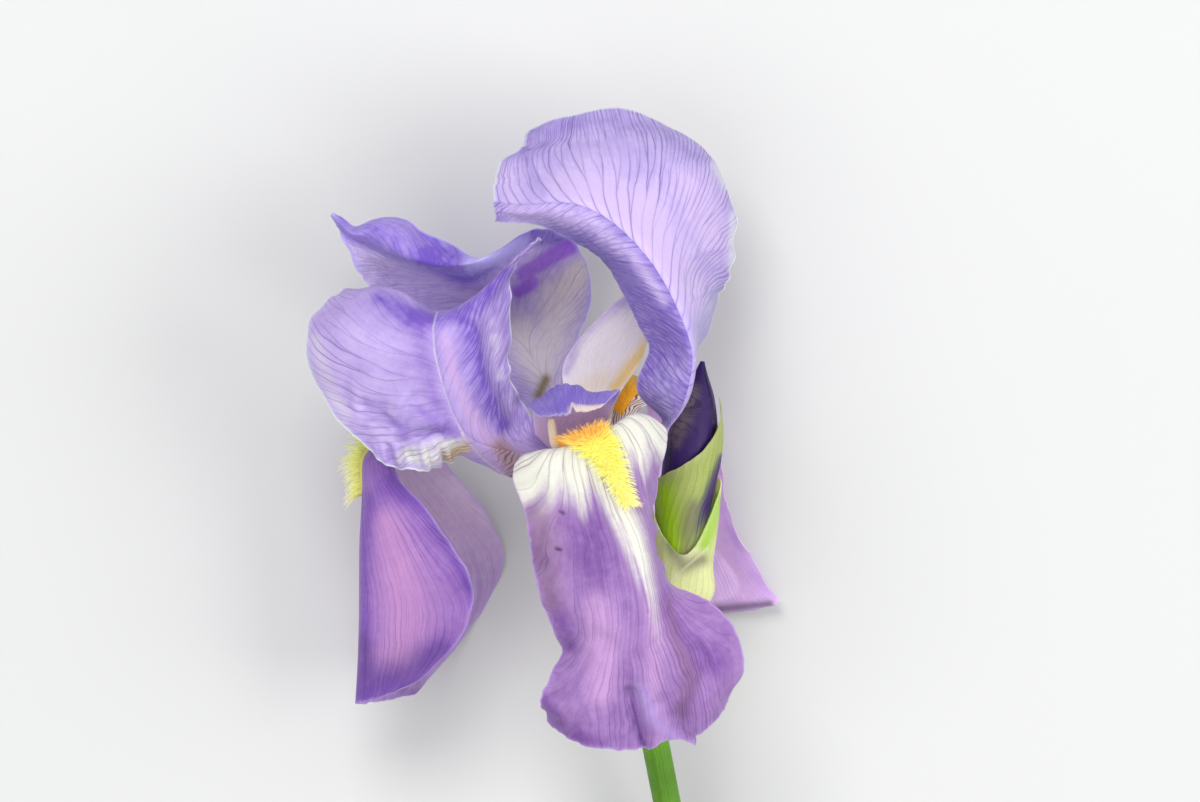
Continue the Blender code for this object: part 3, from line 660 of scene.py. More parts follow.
def petal_look(name, light, dark, vein, pale, warm, rim, pink, vein_width=0.10, through=0.35, wander=1.0,
               stripe_rate=0.6):
    """A petal's material: two tones, forking veins, a pale or warm claw and a light rim."""
    shading = Shading(name)
    pinkness, netting, zebra = shading.attribute("wash")
    paleness, depth, warmth = shading.attribute("tint")
    # edge: rim coat (pale margins, some painted highlights), vein strength, darkening (painted shade, dark
    # marks)
    rimmed, strength, shade = shading.attribute("edge")
    width = strength.scaled(0.8 * vein_width, 0.4 * vein_width)
    width = (strength * strength).scaled(0.5 * vein_width, width)
    line, halo, psi, fork = vein_lines(shading, width, wander)
    streaks = shading.noise(1.5, 3.0, 0.6, shading.vector(psi * 3.0, fork * 1.4))
    fine_streaks = shading.noise(1.0, 3.0, 0.6, shading.vector(psi * 6.0, fork * 4.0))
    islands = shading.made("ShaderNodeTexVoronoi", "Distance", {
        "Vector": shading.vector(psi * 2.4, fork * 6.0), "Scale": 1.0}, feature="DISTANCE_TO_EDGE")
    seam = islands.smooth(0.0, 0.22, 1.0, 0.0)
    clouds = shading.noise(130.0, 3.0, 0.55)
    mottled = shading.noise(420.0, 4.0, 0.65)
    grains = shading.noise(2600.0, 2.0, 0.6)
    blend = depth
    for texture, share in ((streaks, 0.5), (clouds, 0.5), (mottled, 0.5), (fine_streaks, 0.52)):
        blend = blend + texture.scaled(share, -share / 2)
    blend = shading.math("ADD", blend, seam.scaled(0.45, -0.15) * netting, clamp=True)
    patchy = paleness + -0.75
    for texture in (streaks, mottled, fine_streaks):
        patchy = texture.scaled(0.5, patchy)
    whiter = patchy.smooth(-0.1, 0.9) * paleness.smooth(0.0, 0.3)
    curled = shading.noise(190.0, 1.0).scaled(5.0, psi * stripe_rate)
    striped = shading.math("SINE", curled * (2 * math.pi)).smooth(0.0, 0.7)
    ink = shading.mix(paleness, vein, (116, 82, 118))
    soft = shading.math("MULTIPLY", halo * strength, 0.3, clamp=True)
    sharp = shading.math("MULTIPLY", line * strength, 0.85, clamp=True)
    # Darkening coat: painted shade in folds, valleys and under edges, and real dark specks and brown claws
    shaded = tuple(value * 0.4 for value in dark)
    base = shading.paint(shading.mix(blend, light, dark), (pinkness * 0.75, pink), (whiter, pale),
                         (warmth, warm), (striped * zebra * 0.9, STRIPE_BROWN), (seam * netting * 0.22, ink),
                         (soft, ink), (sharp, ink), (rimmed, rim), (shade, shaded))
    normal = shading.bumps((halo * strength * -1.0, 0.3, 0.0002), (mottled, 0.35, 0.0005),
                           (grains, 0.25, 0.00012))
    return shading.finish(shading.grainy(base, grains), clouds.scaled(0.2, 0.45), normal, 0.2, 0.3, through)


def leaf_look(name, light, dark, rib, edge_colour, rib_count, through=0.25):
    """Green tissue with fine parallel ribs, paler towards its papery edges."""
    shading = Shading(name)
    around, papery, depth = shading.attribute("leaf")
    purple, lime, smoky = shading.attribute("flush")
    clouds = shading.noise(160.0, 3.0)
    grains = shading.noise(2200.0)
    wobble = shading.noise(110.0).scaled(0.09, around)
    wave = shading.math("SINE", wobble * (rib_count * 2 * math.pi))
    fibres = shading.noise(1.0, 3.0, 0.6, shading.vector(wobble * 60.0))
    ribs = wave.smooth(0.7, 1.0) * fibres.smooth(0.35, 0.65)
    tone = shading.math("ADD", depth + clouds.scaled(0.8, -0.4), fibres.scaled(0.6, -0.3), clamp=True)
    stained = (purple + fibres.scaled(0.8, -0.4)).smooth(0.0, 1.0) * purple.smooth(0.0, 0.6)
    base = shading.paint(shading.mix(tone, light, dark), (lime, (176, 222, 0)), (smoky, (134, 132, 96)),
                         (ribs * 0.5, rib), (papery, edge_colour), (stained, (56, 22, 98)))
    normal = shading.bumps((wave, 0.2, 0.00015), (fibres, 0.3, 0.0003), (grains, 0.2, 0.0001))
    return shading.finish(shading.grainy(base, grains), clouds.scaled(0.25, 0.4), normal, 0.1, 0.4, through)


def bud_look():
    """Furled petals: near-black violet, fine cross veins, painted sheen on a patch, painted shade at the
    edges.
    """
    shading = Shading("bud_skin")
    streak, edge_line, place = shading.attribute("bud")
    clouds = shading.noise(220.0, 3.0)
    grains = shading.noise(2400.0)
    bent = shading.noise(120.0).scaled(0.2, place)
    hatched = shading.noise(1.0, 3.0, 0.6, shading.vector(bent * 110.0))
    # streak is a patch of painted sheen; edge_line is painted shade along the furled edges
    base = shading.paint(shading.mix(clouds, (30, 0, 68), (54, 16, 102)),
                         (streak * clouds.smooth(0.3, 0.7, 0.3, 1.0), (128, 114, 108)),
                         (hatched.smooth(0.45, 0.7) * 0.75, (30, 8, 60)), (edge_line, (14, 4, 34)))
    normal = shading.bumps((hatched, 0.2, 0.0001), (grains, 0.2, 0.0001))
    return shading.finish(base, clouds.scaled(0.2, 0.4), normal, 0.1, 0.3)


def hair_look(name, gold, lemon, root, glow):
    """Beard hairs: gold at the root of the beard, lemon, then whitish tips at its end."""
    shading = Shading(name)
    orange, whitish, tip = shading.attribute("hair")
    clouds = shading.noise(500.0)
    # The root coat is painted shade at the foot of each hair and on the pad between them
    base = shading.paint(shading.mix(orange, lemon, gold), (tip.smooth(0.0, 0.55, 0.5, 0.0), root),
                         (tip * whitish, (255, 253, 214)))
    # Painted light: the hairs glow with their lemon colour
    shading.join(shading.shader.inputs["Emission Color"], lemon)
    shading.join(shading.shader.inputs["Emission Strength"], glow)
    normal = shading.bumps((clouds, 0.1, 0.0001))
    return shading.finish(base, clouds.scaled(0.2, 0.45), normal, 0.2, 0.3, 0.4)


def pollen_look():
    """Stamens: cream filaments and grainy anthers."""
    shading = Shading("stamen_skin")
    grains = shading.noise(3000.0, 3.0, 0.7)
    base = shading.paint(shading.mix(shading.noise(300.0), (250, 232, 206), (238, 214, 186)),
                         (grains.smooth(0.5, 0.75), (252, 244, 220)))
    normal = shading.bumps((grains, 0.5, 0.0002))
    return shading.finish(base, grains.scaled(0.2, 0.6), normal, 0.0, 0.3, 0.15)


def front_fall(look):
    """The fall that hangs towards the viewer, with the white haft and the gold beard."""
    midrib = (3.0, 3.0, 3.0, 3.2, 3.4, 3.4, 3.3, 3.3, 3.6, 4.0)
    sheet = petal_sheet(FALL_FRONT, FRONT, 210, 110, midrib, 0.8)
    v, s = sheet.v, sheet.s
    sheet.raise_by(ruffle(sheet, 11, 0.9, 9))
    sheet.draw_over()
    folds = sheet.total((1.8, (640, 676, 12), (650, 712, 11), (652, 742, 12)),
                        (-1.7, (630, 690, 5), (634, 716, 5), (643, 744, 6)),
                        (-2.1, (702, 652, 12), (684, 690, 10), (676, 714, 8)),
                        (0.9, (697, 700, 9), (688, 722, 8)),
                        (-0.7, (606, 640, 10), (622, 668, 10), (632, 690, 8)),
                        (0.6, (598, 560, 12), (606, 620, 14)))
    wrinkles = 0.35 * uneven(13, sheet.right / 7 + sheet.down / 21) * uneven(14, sheet.down / 11)
    sheet.raise_by(folds + wrinkles)
    left, right, tip = scallops(sheet, 21, 0.35, 26)
    sheet.spread_margins(left, right, tip + 1.9 * bell(s[0], 0.22, 0.05))
    sheet.move(2.4 * bell(s, 0.22, 0.06) * step(0.93, 1.0, v), 0)
    spread = np.interp(v, [0, 0.1, 0.24, 0.42, 0.7, 1], [0, 0, 0.5, 0.85, 1.0, 1.35])
    psi = 18 * s * np.exp(-spread) / (1 + 0.9 * step(0.1, 0.3, v) * s ** 2)
    sheet.raise_by(vein_ridges(sheet, psi, 0.05, 0.15, 0.3))
    ragged = 0.05 * uneven(3, psi * 1.3) + 0.03 * uneven(4, psi * 3.1)
    white = 1 - step(0.27, 0.44, v + ragged - 0.03 * np.abs(s) + 0.05 * np.clip(s, 0, 1))
    # Painted highlight: a white stripe along the ridge below the beard, over the haft's own white
    stripe = sheet.stroke((608, 484, 12), (628, 526, 13), (640, 560, 11), (650, 595, 9), (659, 640, 7))
    stripe = stripe * (1 - 0.8 * step(530, 640, sheet.down))
    thin = sheet.stroke((600, 470, 2), (616, 505, 2), (630, 545, 2), (640, 575, 1.6), (647, 610, 1.4))
    pale = np.maximum(white, stripe - 0.4 * thin)
    # bright: a lighter middle of the blade; its 0.7 line is painted light on the flap right of the fold
    bright = sheet.most((1, (598, 604, 13), (604, 640, 17), (600, 690, 14)),
                        (0.8, (650, 604, 7), (656, 650, 12), (650, 690, 10)),
                        (0.7, (656, 706, 7), (662, 738, 8)))
    # dark: deeper violet tones; its 0.9 line is painted shadow in the fold near the tip
    dark = sheet.most((0.65, (534, 540, 14), (548, 590, 12), (572, 645, 8)),
                      (0.6, (590, 530, 22), (596, 566, 22)),
                      (0.5, (656, 600, 7), (680, 632, 10), (712, 660, 14)),
                      (0.9, (632, 692, 2.2), (635, 718, 2.6), (644, 744, 3)),
                      (0.5, (546, 700, 9), (566, 730, 8), (600, 742, 6)))
    # magenta: a pinker valley on the right of the blade, also darkened there as painted shade
    magenta = sheet.stroke((668, 600, 5), (676, 640, 6), (690, 676, 9), (682, 712, 8))
    # folded: the flap right of that fold, painted lighter through the rim coat as a painted highlight
    folded = sheet.stroke((640, 684, 6), (652, 716, 8), (676, 738, 6))
    boldest = sheet.stroke((560, 470, 14), (600, 480, 16), (620, 450, 14))
    specks = sheet.most((1, (561, 511, 1.6), (564, 513, 1.6)), (1, (557, 548, 2.0), (561, 549, 1.6)))
    cream = 0.2 * sheet.stroke((606, 470, 16), (634, 505, 12))
    blade = sheet.stroke((540, 520, 16), (544, 560, 16), (552, 600, 12))
    depth = 0.54 + 0.5 * dark - 0.46 * bright * (1 - folded)
    rim = np.maximum(0.6 * rim_mask(sheet, 0.45), 0.5 * folded)
    strength = 0.65 + 0.25 * white + 0.4 * thin + 0.2 * boldest
    # Darkening: real dark specks, painted shade in the magenta valley, and a darker left side of the blade
    shade = 0.8 * specks + 0.3 * magenta + 0.2 * blade
    pink = (0.4 * bright + 0.1 - 0.1 * dark) * (1 - folded) + 0.45 * magenta
    petal("fall_front_petal", "fall_front", sheet, look, psi, v,
          (pale, depth, cream * 0.5 + 0.12 * blade), (rim, strength, shade), (pink, 0.3 * white, 0))
    return sheet


def left_fall(look):
    """The fall that hangs down at the left, folded along its midrib."""
    sheet = petal_sheet(FALL_LEFT, LEFT, 190, 100, 2.0, 0.6)
    sheet.raise_by(ruffle(sheet, 31, 0.8, 8))
    sheet.scallop(41, 0.3, 24)
    v, s = sheet.v, sheet.s
    psi = 11 * s * np.exp(-np.interp(v, [0, 0.15, 0.5, 1], [0, 0, 0.55, 1.1]))
    sheet.raise_by(vein_ridges(sheet, psi, 0.06, 0.15, 0.3))
    near = 1 - step(-0.05, 0.05, s)
    white = (1 - step(0.20, 0.34, v)) * near
    pink = 0.9 * sheet.stroke((388, 524, 15), (400, 572, 25), (408, 612, 29), (396, 650, 20))
    dark = sheet.most((1, (368, 500, 9), (364, 600, 7), (366, 680, 8)),
                      (1, (392, 484, 14), (424, 506, 10), (462, 575, 5), (476, 604, 5)),
                      (1.1, (366, 694, 14), (400, 676, 16), (440, 650, 12)))
    depth = near * (0.6 + 0.4 * dark - 0.4 * pink) + (1 - near) * (0.1 + 0.4 * step(0.55, 0.8, v))
    far_pale = (1 - near) * (0.6 - 0.3 * step(0.5, 0.8, v))
    # low: painted shade over the low end of the near half, through the darkening coat
    low = near * sheet.stroke((362, 640, 8), (370, 680, 22), (410, 668, 20), (440, 650, 12))
    rim = 0.6 * rim_mask(sheet, 0.6)
    petal("fall_left_petal", "fall_left", sheet, look, psi, v,
          (np.maximum(white, far_pale), depth, 0), (rim, 0.25 + 0.35 * near, 0.3 * low),
          (near * (0.15 + 0.6 * pink), 0, 0))
    return sheet


def rear_fall(look):
    """The fall behind the bud, with its striped haft inside the flower."""
    sheet = petal_sheet(FALL_REAR, REAR, 170, 90, 2.0)
    sheet.raise_by(ruffle(sheet, 51, 0.7, 8))
    sheet.scallop(61, 0.3, 22)
    v, s = sheet.v, sheet.s
    psi = 10 * s * np.exp(-np.interp(v, [0, 0.2, 0.5, 1], [0, 0, 0.35, 0.8]))
    warm = sheet.stroke((600, 420, 12), (618, 392, 15), (646, 360, 14)) * (1 - step(0.3, 0.42, v))
    brown = sheet.stroke((612, 440, 14), (624, 412, 16), (640, 398, 12)) * (1 - step(0.3, 0.4, v))
    depth = 0.15 * step(0.5, 0.9, v) + 0.25 * sheet.stroke((720, 500, 6), (744, 560, 6), (770, 594, 6)) - 0.1
    white = (1 - step(0.22, 0.38, v)) * 0.8
    # under: painted shade in a band along the bottom edge, where the petal turns under
    under = sheet.stroke((700, 614, 5), (740, 610, 5), (772, 606, 4))
    rim = 0.4 * rim_mask(sheet, 0.5)
    petal("fall_rear_petal", "fall_rear", sheet, look, psi, v,
          (np.maximum(white, brown), depth, warm * (1 - brown)), (rim, 0.4, 0.7 * under), (0, 0, brown))
    return sheet


def side_standard(look):
    """The standard that arches over the flower: a wide fan outside, a dark strip inside."""
    sheet = petal_sheet(STANDARD_SIDE, SIDE, 240, 150, 2.0, 0.6)
    v, s = sheet.v, sheet.s
    rows, columns = v[:, 0], s[0]
    fan, strip = np.clip(s, 0, 1), np.clip(-s, 0, 1)
    sheet.raise_by((1 - 0.9 * bell(v, 0.48, 0.12)) * ruffle(sheet, 71, 0.8, 14, left_share=0.15))
    left, right, tip = scallops(sheet, 81, 0.4, 30)
    right = right * (1 - np.exp(-((rows - 0.46) / 0.07) ** 4))
    right = 0.4 * right - 1.2 * bell(rows, 0.47, 0.018)
    tip = 0.6 * tip + np.interp(columns, [0, 0.27, 0.45, 0.58, 0.62, 0.68, 0.72, 0.8, 0.9, 1],
                                [0.2, 0.6, 2.0, 2.9, 2.6, -0.6, -1.5, -0.6, 0, 0])
    sheet.spread_margins(left * 0.4, right, tip)
    crinkled = step(0.35, 0.5, v) * (1 - step(0.68, 0.8, v))
    sheet.raise_by(0.06 * crinkled * step(0.5, 1.0, fan) ** 1.5 * uneven(85, v * 30 + 2 * fan))
    start = np.interp(v, [0, 0.3, 0.45, 0.65, 0.77, 0.855, 0.91, 0.97, 1.0],
                      [0, 0.22, 0.31, 0.39, 0.48, 0.60, 0.70, 0.86, 1.0])
    turned = fan ** 0.6
    psi = np.where(s > 0, 32 * (v * (1 - turned) + start * turned), 32 * (v - 0.08 * strip ** 0.8))
    fork = np.where(s > 0, 0.9 * fan, 0.2 + strip * 0.6)
    sheet.raise_by(vein_ridges(sheet, psi, 0.05, 0.25, 0.4) * step(0.03, 0.2, np.abs(s)))
    sheet.raise_by(0.45 * bell(s, 0, 0.02) * step(0.2, 0.35, v))
    sheet.draw_over()
    sheet.move(1.0 * sheet.stroke((708, 312, 13), (706, 328, 13)) * step(0.3, 0.8, fan), 0)
    crease = sheet.stroke((523, 150, 3), (530, 170, 3.5), (546, 196, 4))
    cross = sheet.stroke((690, 258, 2.5), (708, 251, 3), (732, 248, 3))
    low_cross = sheet.stroke((688, 300, 3), (706, 291, 3), (720, 286, 3))
    dents = 0.5 * sheet.stroke((690, 276, 7), (716, 267, 7)) - 0.5 * cross - 0.6 * low_cross
    sheet.raise_by(dents * (1 - step(0.75, 1.0, fan)) - 0.6 * crease)
    # light: the fan painted paler beyond the ridge, as painted light where it faces the light
    light = sheet.most((1, (560, 186, 14), (590, 186, 26), (640, 215, 34), (690, 290, 22)),
                       (1, (690, 190, 22), (712, 236, 20)), (0.6, (506, 176, 12), (514, 200, 12)))
    inside = 1 - step(-0.008, 0.004, s)
    outside = 1 - inside
    # lower: the strip's low end, lighter and a little greyer through the darkening coat
    lower = sheet.stroke((660, 404, 22), (676, 372, 16))
    bright = sheet.stroke((514, 214, 12), (552, 213, 14), (590, 222, 10), (632, 256, 7), (664, 300, 5))
    tip_end = step(0.86, 1.0, v)
    violet = sheet.stroke((540, 152, 7), (556, 128, 7), (600, 120, 7), (660, 128, 8), (700, 160, 8))
    tail = sheet.stroke((716, 296, 12), (706, 322, 10), (694, 346, 7))
    # The inside strip is painted much darker than the fan: painted shade on the side that faces down
    in_depth = (0.86 - 0.5 * lower - 0.8 * bright) * (1 - 0.5 * tip_end)
    out_depth = 0.25 + 0.05 * fan - 0.3 * light + 0.25 * violet
    # crease, cross and low_cross darken the dents they follow, as painted shade in those creases
    depth = inside * in_depth + outside * out_depth + 0.25 * crease + 0.2 * cross + 0.2 * low_cross
    depth = depth + 0.25 * tail * outside
    outline = sheet.stroke((690, 150, 34), (735, 240, 34), (708, 330, 34))
    edge = rim_mask(sheet, 0.5) * (0.65 + 0.35 * outline)
    spots = sheet.total((1, (716, 166, 6), (726, 184, 6)), (1, (733, 214, 4), (732, 262, 6)))
    highlight = bell(s, 0, 0.006) * step(0.3, 0.4, v)
    rim = np.maximum.reduce([edge * (1 - 0.6 * inside), 0.45 * spots * step(0.7, 0.97, fan),
                             0.25 * tail * outside, 0.4 * highlight,
                             sheet.stroke((544, 204, 5), (556, 203, 4)) * highlight])
    strength = np.where(s > 0, 0.9, 0.85 - 0.3 * bright) + 0.15 * tail
    pale = 0.4 * (1 - step(0.08, 0.30, v)) * inside
    pink = outside * (0.5 * light + 0.25) * (1 - tail) + inside * (0.25 + 0.3 * bright) * (1 - lower)
    zebra = 0.8 * sheet.stroke((612, 448, 8), (630, 442, 8)) * (1 - step(0.10, 0.16, v))
    petal("standard_side_petal", "standard_side", sheet, look, psi, fork, (pale, depth, 0),
          (rim, strength, 0.12 * lower * inside), (pink, inside * (0.5 - 0.2 * tip_end), zebra))


def left_standard(look):
    """The standard at the left, with its pale ridge, lobe and crumpled brown claw."""
    sheet = petal_sheet(STANDARD_LEFT, FRONT_LEFT, 220, 130, 3.0, 0.5)
    sheet.raise_by(ruffle(sheet, 91, 0.6, 12))
    left, right, tip = scallops(sheet, 101, 0.3, 30)
    sheet.spread_margins(left, right * 0.5 + np.interp(sheet.places, [1, 2, 3, 4], [0, 1.2, 2.0, 0]), tip)
    sheet.draw_over()
    sheet.move(0, 1.7 * sheet.stroke((352, 292, 18), (378, 294, 20), (404, 302, 16)))
    v, s = sheet.v, sheet.s
    lobe, inner = np.clip(-s, 0, 1), np.clip(s, 0, 1)
    start = np.interp(v, [0, 0.3, 0.40, 0.50, 0.61, 0.71, 0.78, 0.87, 1.0],
                      [0, 0.22, 0.28, 0.33, 0.39, 0.46, 0.53, 0.63, 0.80])
    turned = lobe ** 0.7
    psi = np.where(s < 0, 17 * (v * (1 - turned) + start * turned), 17 * (v - 0.32 * inner ** 0.8))
    sheet.raise_by(vein_ridges(sheet, psi, 0.05, 0.25, 0.4) * step(0.03, 0.2, np.abs(s)))
    pleats = sheet.stroke((388, 454, 12), (420, 460, 13), (452, 456, 10)) * step(0.3, 0.6, lobe)
    bent = sheet.right - 0.35 * sheet.down + 3 * uneven(92, sheet.down / 9)
    sheet.raise_by(pleats * (1.6 * uneven(93, bent / 6.5) + 0.7 * uneven(94, bent / 3.5)))
    dents = sheet.total((-0.9, (396, 414, 5), (404, 398, 6)), (0.8, (409, 402, 5), (420, 394, 5)),
                        (-0.8, (398, 436, 5), (418, 420, 7), (440, 424, 6)),
                        (0.8, (412, 440, 6), (436, 436, 7)),
                        (-1.3, (470, 330, 9), (478, 380, 9), (500, 424, 8)),
                        (0.6, (490, 320, 6), (494, 360, 6), (506, 400, 5)),
                        (0.5, (452, 340, 7), (458, 380, 7), (474, 424, 7)))
    low_lobe = sheet.stroke((352, 408, 18), (392, 436, 20), (440, 436, 14))
    crumple = uneven(96, psi * 1.7) * uneven(97, sheet.right / 9)
    crumple = crumple + 0.5 * uneven(98, psi * 2.9 + sheet.right / 19)
    sheet.raise_by(dents + 0.7 * low_lobe * crumple)
    sheet.raise_by(0.35 * bell(s, 0, 0.03) * step(0.1, 0.3, v))
    ridge = sheet.stroke((438, 312, 1.2), (434, 328, 1.4), (435, 352, 1.5), (442, 381, 1.4), (452, 411, 1.3),
                         (464, 437, 1.3), (484, 459, 1.2), (506, 476, 1.2))
    # top and valley: painted shade along the turned-over upper edge and in the groove beside the ridge
    top = sheet.stroke((380, 300, 9), (412, 316, 13), (440, 318, 12), (476, 306, 11), (506, 272, 8))
    valley = sheet.stroke((466, 326, 9), (474, 352, 12), (484, 392, 12), (500, 424, 9))
    beside = sheet.stroke((420, 322, 12), (424, 356, 10), (434, 396, 9), (452, 434, 8))
    light = sheet.stroke((326, 352, 22), (350, 396, 26), (380, 428, 22))
    glow = sheet.total((1, (352, 330, 14), (380, 346, 16)), (0.7, (372, 380, 12), (396, 392, 10)))
    patches = sheet.stroke((494, 322, 7), (500, 372, 7), (510, 404, 6))
    patches = patches * (0.5 + 0.5 * uneven(99, sheet.down / 7 + sheet.right / 30))
    depth = 0.36 + 0.5 * top + 0.5 * valley + 0.35 * beside - 0.25 * light - 0.3 * glow - 0.4 * patches
    # The two small strokes darken two dents of the lower lobe, as painted shade
    depth = depth + 0.4 * low_lobe * crumple + sheet.total((0.35, (392, 418, 4), (404, 434, 5)),
                                                           (0.3, (420, 408, 4), (446, 432, 6)))
    cream = sheet.stroke((404, 456, 8), (424, 456, 12), (442, 450, 12), (460, 446, 8))
    brown = sheet.stroke((500, 446, 8), (510, 458, 11), (516, 476, 9))
    base_pink = sheet.stroke((446, 336, 6), (454, 376, 8), (470, 412, 10), (490, 444, 14), (508, 464, 12))
    streaked = 0.5 + 0.5 * (0.5 + 0.5 * uneven(95, bent / 3.2))
    pale = np.maximum.reduce([0.4 * ridge, 1.1 * cream * streaked, 0.3 * patches,
                              0.3 * sheet.stroke((316, 340, 10), (326, 380, 12), (346, 418, 10))])
    yellow = sheet.total((1, (448, 456, 5), (464, 448, 6)), (0.25, (464, 439, 2), (500, 472, 2)))
    warm = np.maximum(0.4 * brown, 0.75 * yellow * streaked)
    outline = sheet.stroke((350, 296, 16), (312, 330, 18), (314, 366, 14))
    rim = np.maximum.reduce([rim_mask(sheet, 0.5) * (0.4 + 0.5 * step(0.2, 0.9, lobe)),
                             rim_mask(sheet, 0.4) * step(0.5, 0.8, inner) * 0.8,
                             0.6 * rim_mask(sheet, 1.3) * outline])
    strength = 0.6 + 0.35 * np.maximum(brown, cream) + 0.15 * light - 0.2 * step(0, 0.2, inner)
    pink = np.maximum(0.25, 0.9 * base_pink) * (1 - top) * (1 - valley)
    zebra = np.maximum(0.65 * brown, 0.5 * sheet.stroke((440, 456, 9), (464, 446, 7)))
    petal("standard_left_petal", "standard_left", sheet, look, psi,
          np.maximum(0.85 * lobe, inner * 0.8), (pale, depth, warm), (rim, strength, 0.3 * brown),
          (pink, 0.6 * step(0.1, 0.4, inner) + 0.5 * low_lobe, zebra))


def back_standard(look):
    """The standard behind, seen through the arch and at the upper left."""
    sheet = petal_sheet(STANDARD_BACK, BACK, 190, 120, 2.0)
    sheet.raise_by(ruffle(sheet, 111, 0.5, 10))
    left, right, tip = scallops(sheet, 121, 0.4, 26)
    right = right + np.interp(sheet.places, [5, 5.5, 5.9, 6.3, 6.7, 7.0, 7.3],
                              [0, 1.0, 1.7, 2.2, 2.6, 2.0, 0])
    sheet.spread_margins(left, right, tip)
    sheet.draw_over()
    sheet.move(0, -sheet.total((1.2, (352, 220, 9), (354, 226, 9)), (1.3, (420, 228, 9), (428, 236, 9))))
    v, s = sheet.v, sheet.s
    psi = 18 * (v - 0.24 * np.abs(s) ** 0.5)
    sheet.raise_by(vein_ridges(sheet, psi, 0.05, 0.25, 0.4) * step(0.03, 0.2, np.abs(s)))
    fold = np.interp(sheet.right, [330, 350, 400, 440, 470, 500, 530], [226, 240, 262, 274, 281, 266, 244])
    outer = step(0.45, 0.6, v)
    band = (1 - step(-3, 7, sheet.down - fold)) * outer
    sheet.raise_by(0.7 * bell(sheet.down, fold, 5) * outer)
    # magenta: a glowing patch, painted light where light comes through the overlapping petals
    magenta = sheet.most((1, (522, 272, 8), (550, 256, 9), (572, 246, 8)),
                         (1, (518, 290, 8), (532, 280, 8)))
    magenta = step(0.25, 0.75, magenta)
    # saddle: the upturned margin, painted lighter through the rim coat as painted light
    saddle = sheet.stroke((470, 262, 8), (500, 258, 8), (524, 244, 8))
    # window: the part seen through the arch, painted near white as painted light in the flower's shade
    window = sheet.stroke((520, 330, 20), (540, 370, 20), (560, 300, 26), (580, 270, 14))
    white_edge = sheet.stroke((372, 226, 3), (394, 219, 3), (412, 229, 3))
    brown = sheet.stroke((538, 396, 5), (546, 380, 5))
    depth = 0.1 + 0.6 * band + sheet.total(
        (0.25, (556, 316, 6), (566, 330, 7)), (-0.4, (470, 262, 8), (500, 258, 8), (524, 244, 8)),
        (0.3, (420, 262, 5), (462, 280, 6)), (0.25, (436, 258, 15), (474, 274, 13)))
    pale = np.maximum(0.85 * window, 0.15 * white_edge) * (1 - magenta)
    rim = np.maximum.reduce([0.7 * rim_mask(sheet, 0.5), 0.75 * saddle,
                             0.6 * sheet.stroke((330, 215, 4), (346, 250, 3), (362, 286, 3))])
    petal("standard_back_petal", "standard_back", sheet, look, psi, np.abs(s),
          (pale, depth, 0.9 * brown), (rim, 0.45 - 0.2 * band, 0), (magenta, 0.3, 0.35 * brown))


def style_arm(name, table, direction, look, seed, paint, teeth=0.0):
    """A style arm: a small stiff petal with a torn crest at its tip."""
    sheet = Sheet(with_foot(table, direction, STYLE_RADIUS, STYLE_HALF_ANGLE), 130, 90, 1.5)
    v, s = sheet.v, sheet.s
    fold = np.interp(4.0, sheet.places, v[:, 0])
    jagged = uneven(seed + 7, s * 5 + 30) + 0.3 * uneven(seed + 8, s * 13 + 30)
    sheet.move(0, teeth * jagged * bell(v, fold, 0.08))
    left, right, tip = scallops(sheet, seed, 0.35, 12)
    sheet.spread_margins(left * 0.4, right * 0.4, tip * 1.6 - 1.6 * bell(s[0], 0, 0.06))
    sheet.draw_over()
    depth, pale, warm, pink = paint(sheet)
    rim = 0.4 * rim_mask(sheet, 0.4)
    petal(name, "style", sheet, look, 9 * s, v, (pale, depth, warm),
          (rim, 0.1 + 0.4 * depth, 0), (pink, 0.3, 0), petal_thickness(sheet, 0.6, 0.3))


def paint_front_arm(sheet):
    """Violet crest, cream lip at its end, pink-mauve walls below."""
    crest = step(0.55, 0.68, sheet.v)
    lip = step(0.92, 0.98, sheet.v) * step(-0.3, 0.2, sheet.s)
    patch = sheet.stroke((576, 392, 6), (560, 410, 6))
    return 0.75 * crest + 0.3 * patch, 0.9 * lip, 0.25 * lip, (1 - crest) * 0.8


def paint_rear_arm(sheet):
    """White, with a darker lilac left wall in painted shade, and yellow along its right side."""
    # lilac: the left wall, darker and pinker, as painted shade on the wall turned from the light
    lilac = sheet.stroke((566, 372, 6), (578, 336, 9), (602, 312, 11), (636, 294, 12))
    yellow = sheet.stroke((614, 388, 6), (634, 364, 8), (652, 342, 8))
    cream = sheet.stroke((586, 386, 10), (604, 380, 10))
    return 0.5 * lilac, 0.95 - 0.6 * lilac - 0.3 * yellow, np.maximum(0.7 * yellow, 0.2 * cream), 0.3 * lilac


def paint_left_arm(sheet):
    """Pale mauve, deeper at its crest."""
    return 0.2 + 0.4 * step(0.6, 0.9, sheet.v), 0.35 * (1 - sheet.v), 0, 0.3


def lines_of(line, steps):
    """Points in millimetres and radii on a smooth curve through a line."""
    cage = cage_through(np.array(line, float)[:, None])[:, 0]
    places = np.linspace(0, len(line) - 1, (len(line) - 1) * steps + 1)
    smooth = spline_weights(len(line), places) @ cage
    return table_to_mm(smooth[:, :3]), np.maximum(smooth[:, 3], THINNEST_RADIUS)


def frames_along(points):
    """Two directions square to a line at each of its points, without twist."""
    ahead = unit(np.gradient(points, axis=0))
    first = np.cross(ahead[0], [0.0, 0.0, 1.0])
    if np.linalg.norm(first) < 0.1:
        first = np.cross(ahead[0], [1.0, 0.0, 0.0])
    sides = [unit(first)]
    for direction in ahead[1:]:
        sides.append(unit(sides[-1] - direction * np.dot(sides[-1], direction)))
    return np.array(sides), unit(np.cross(ahead, sides))


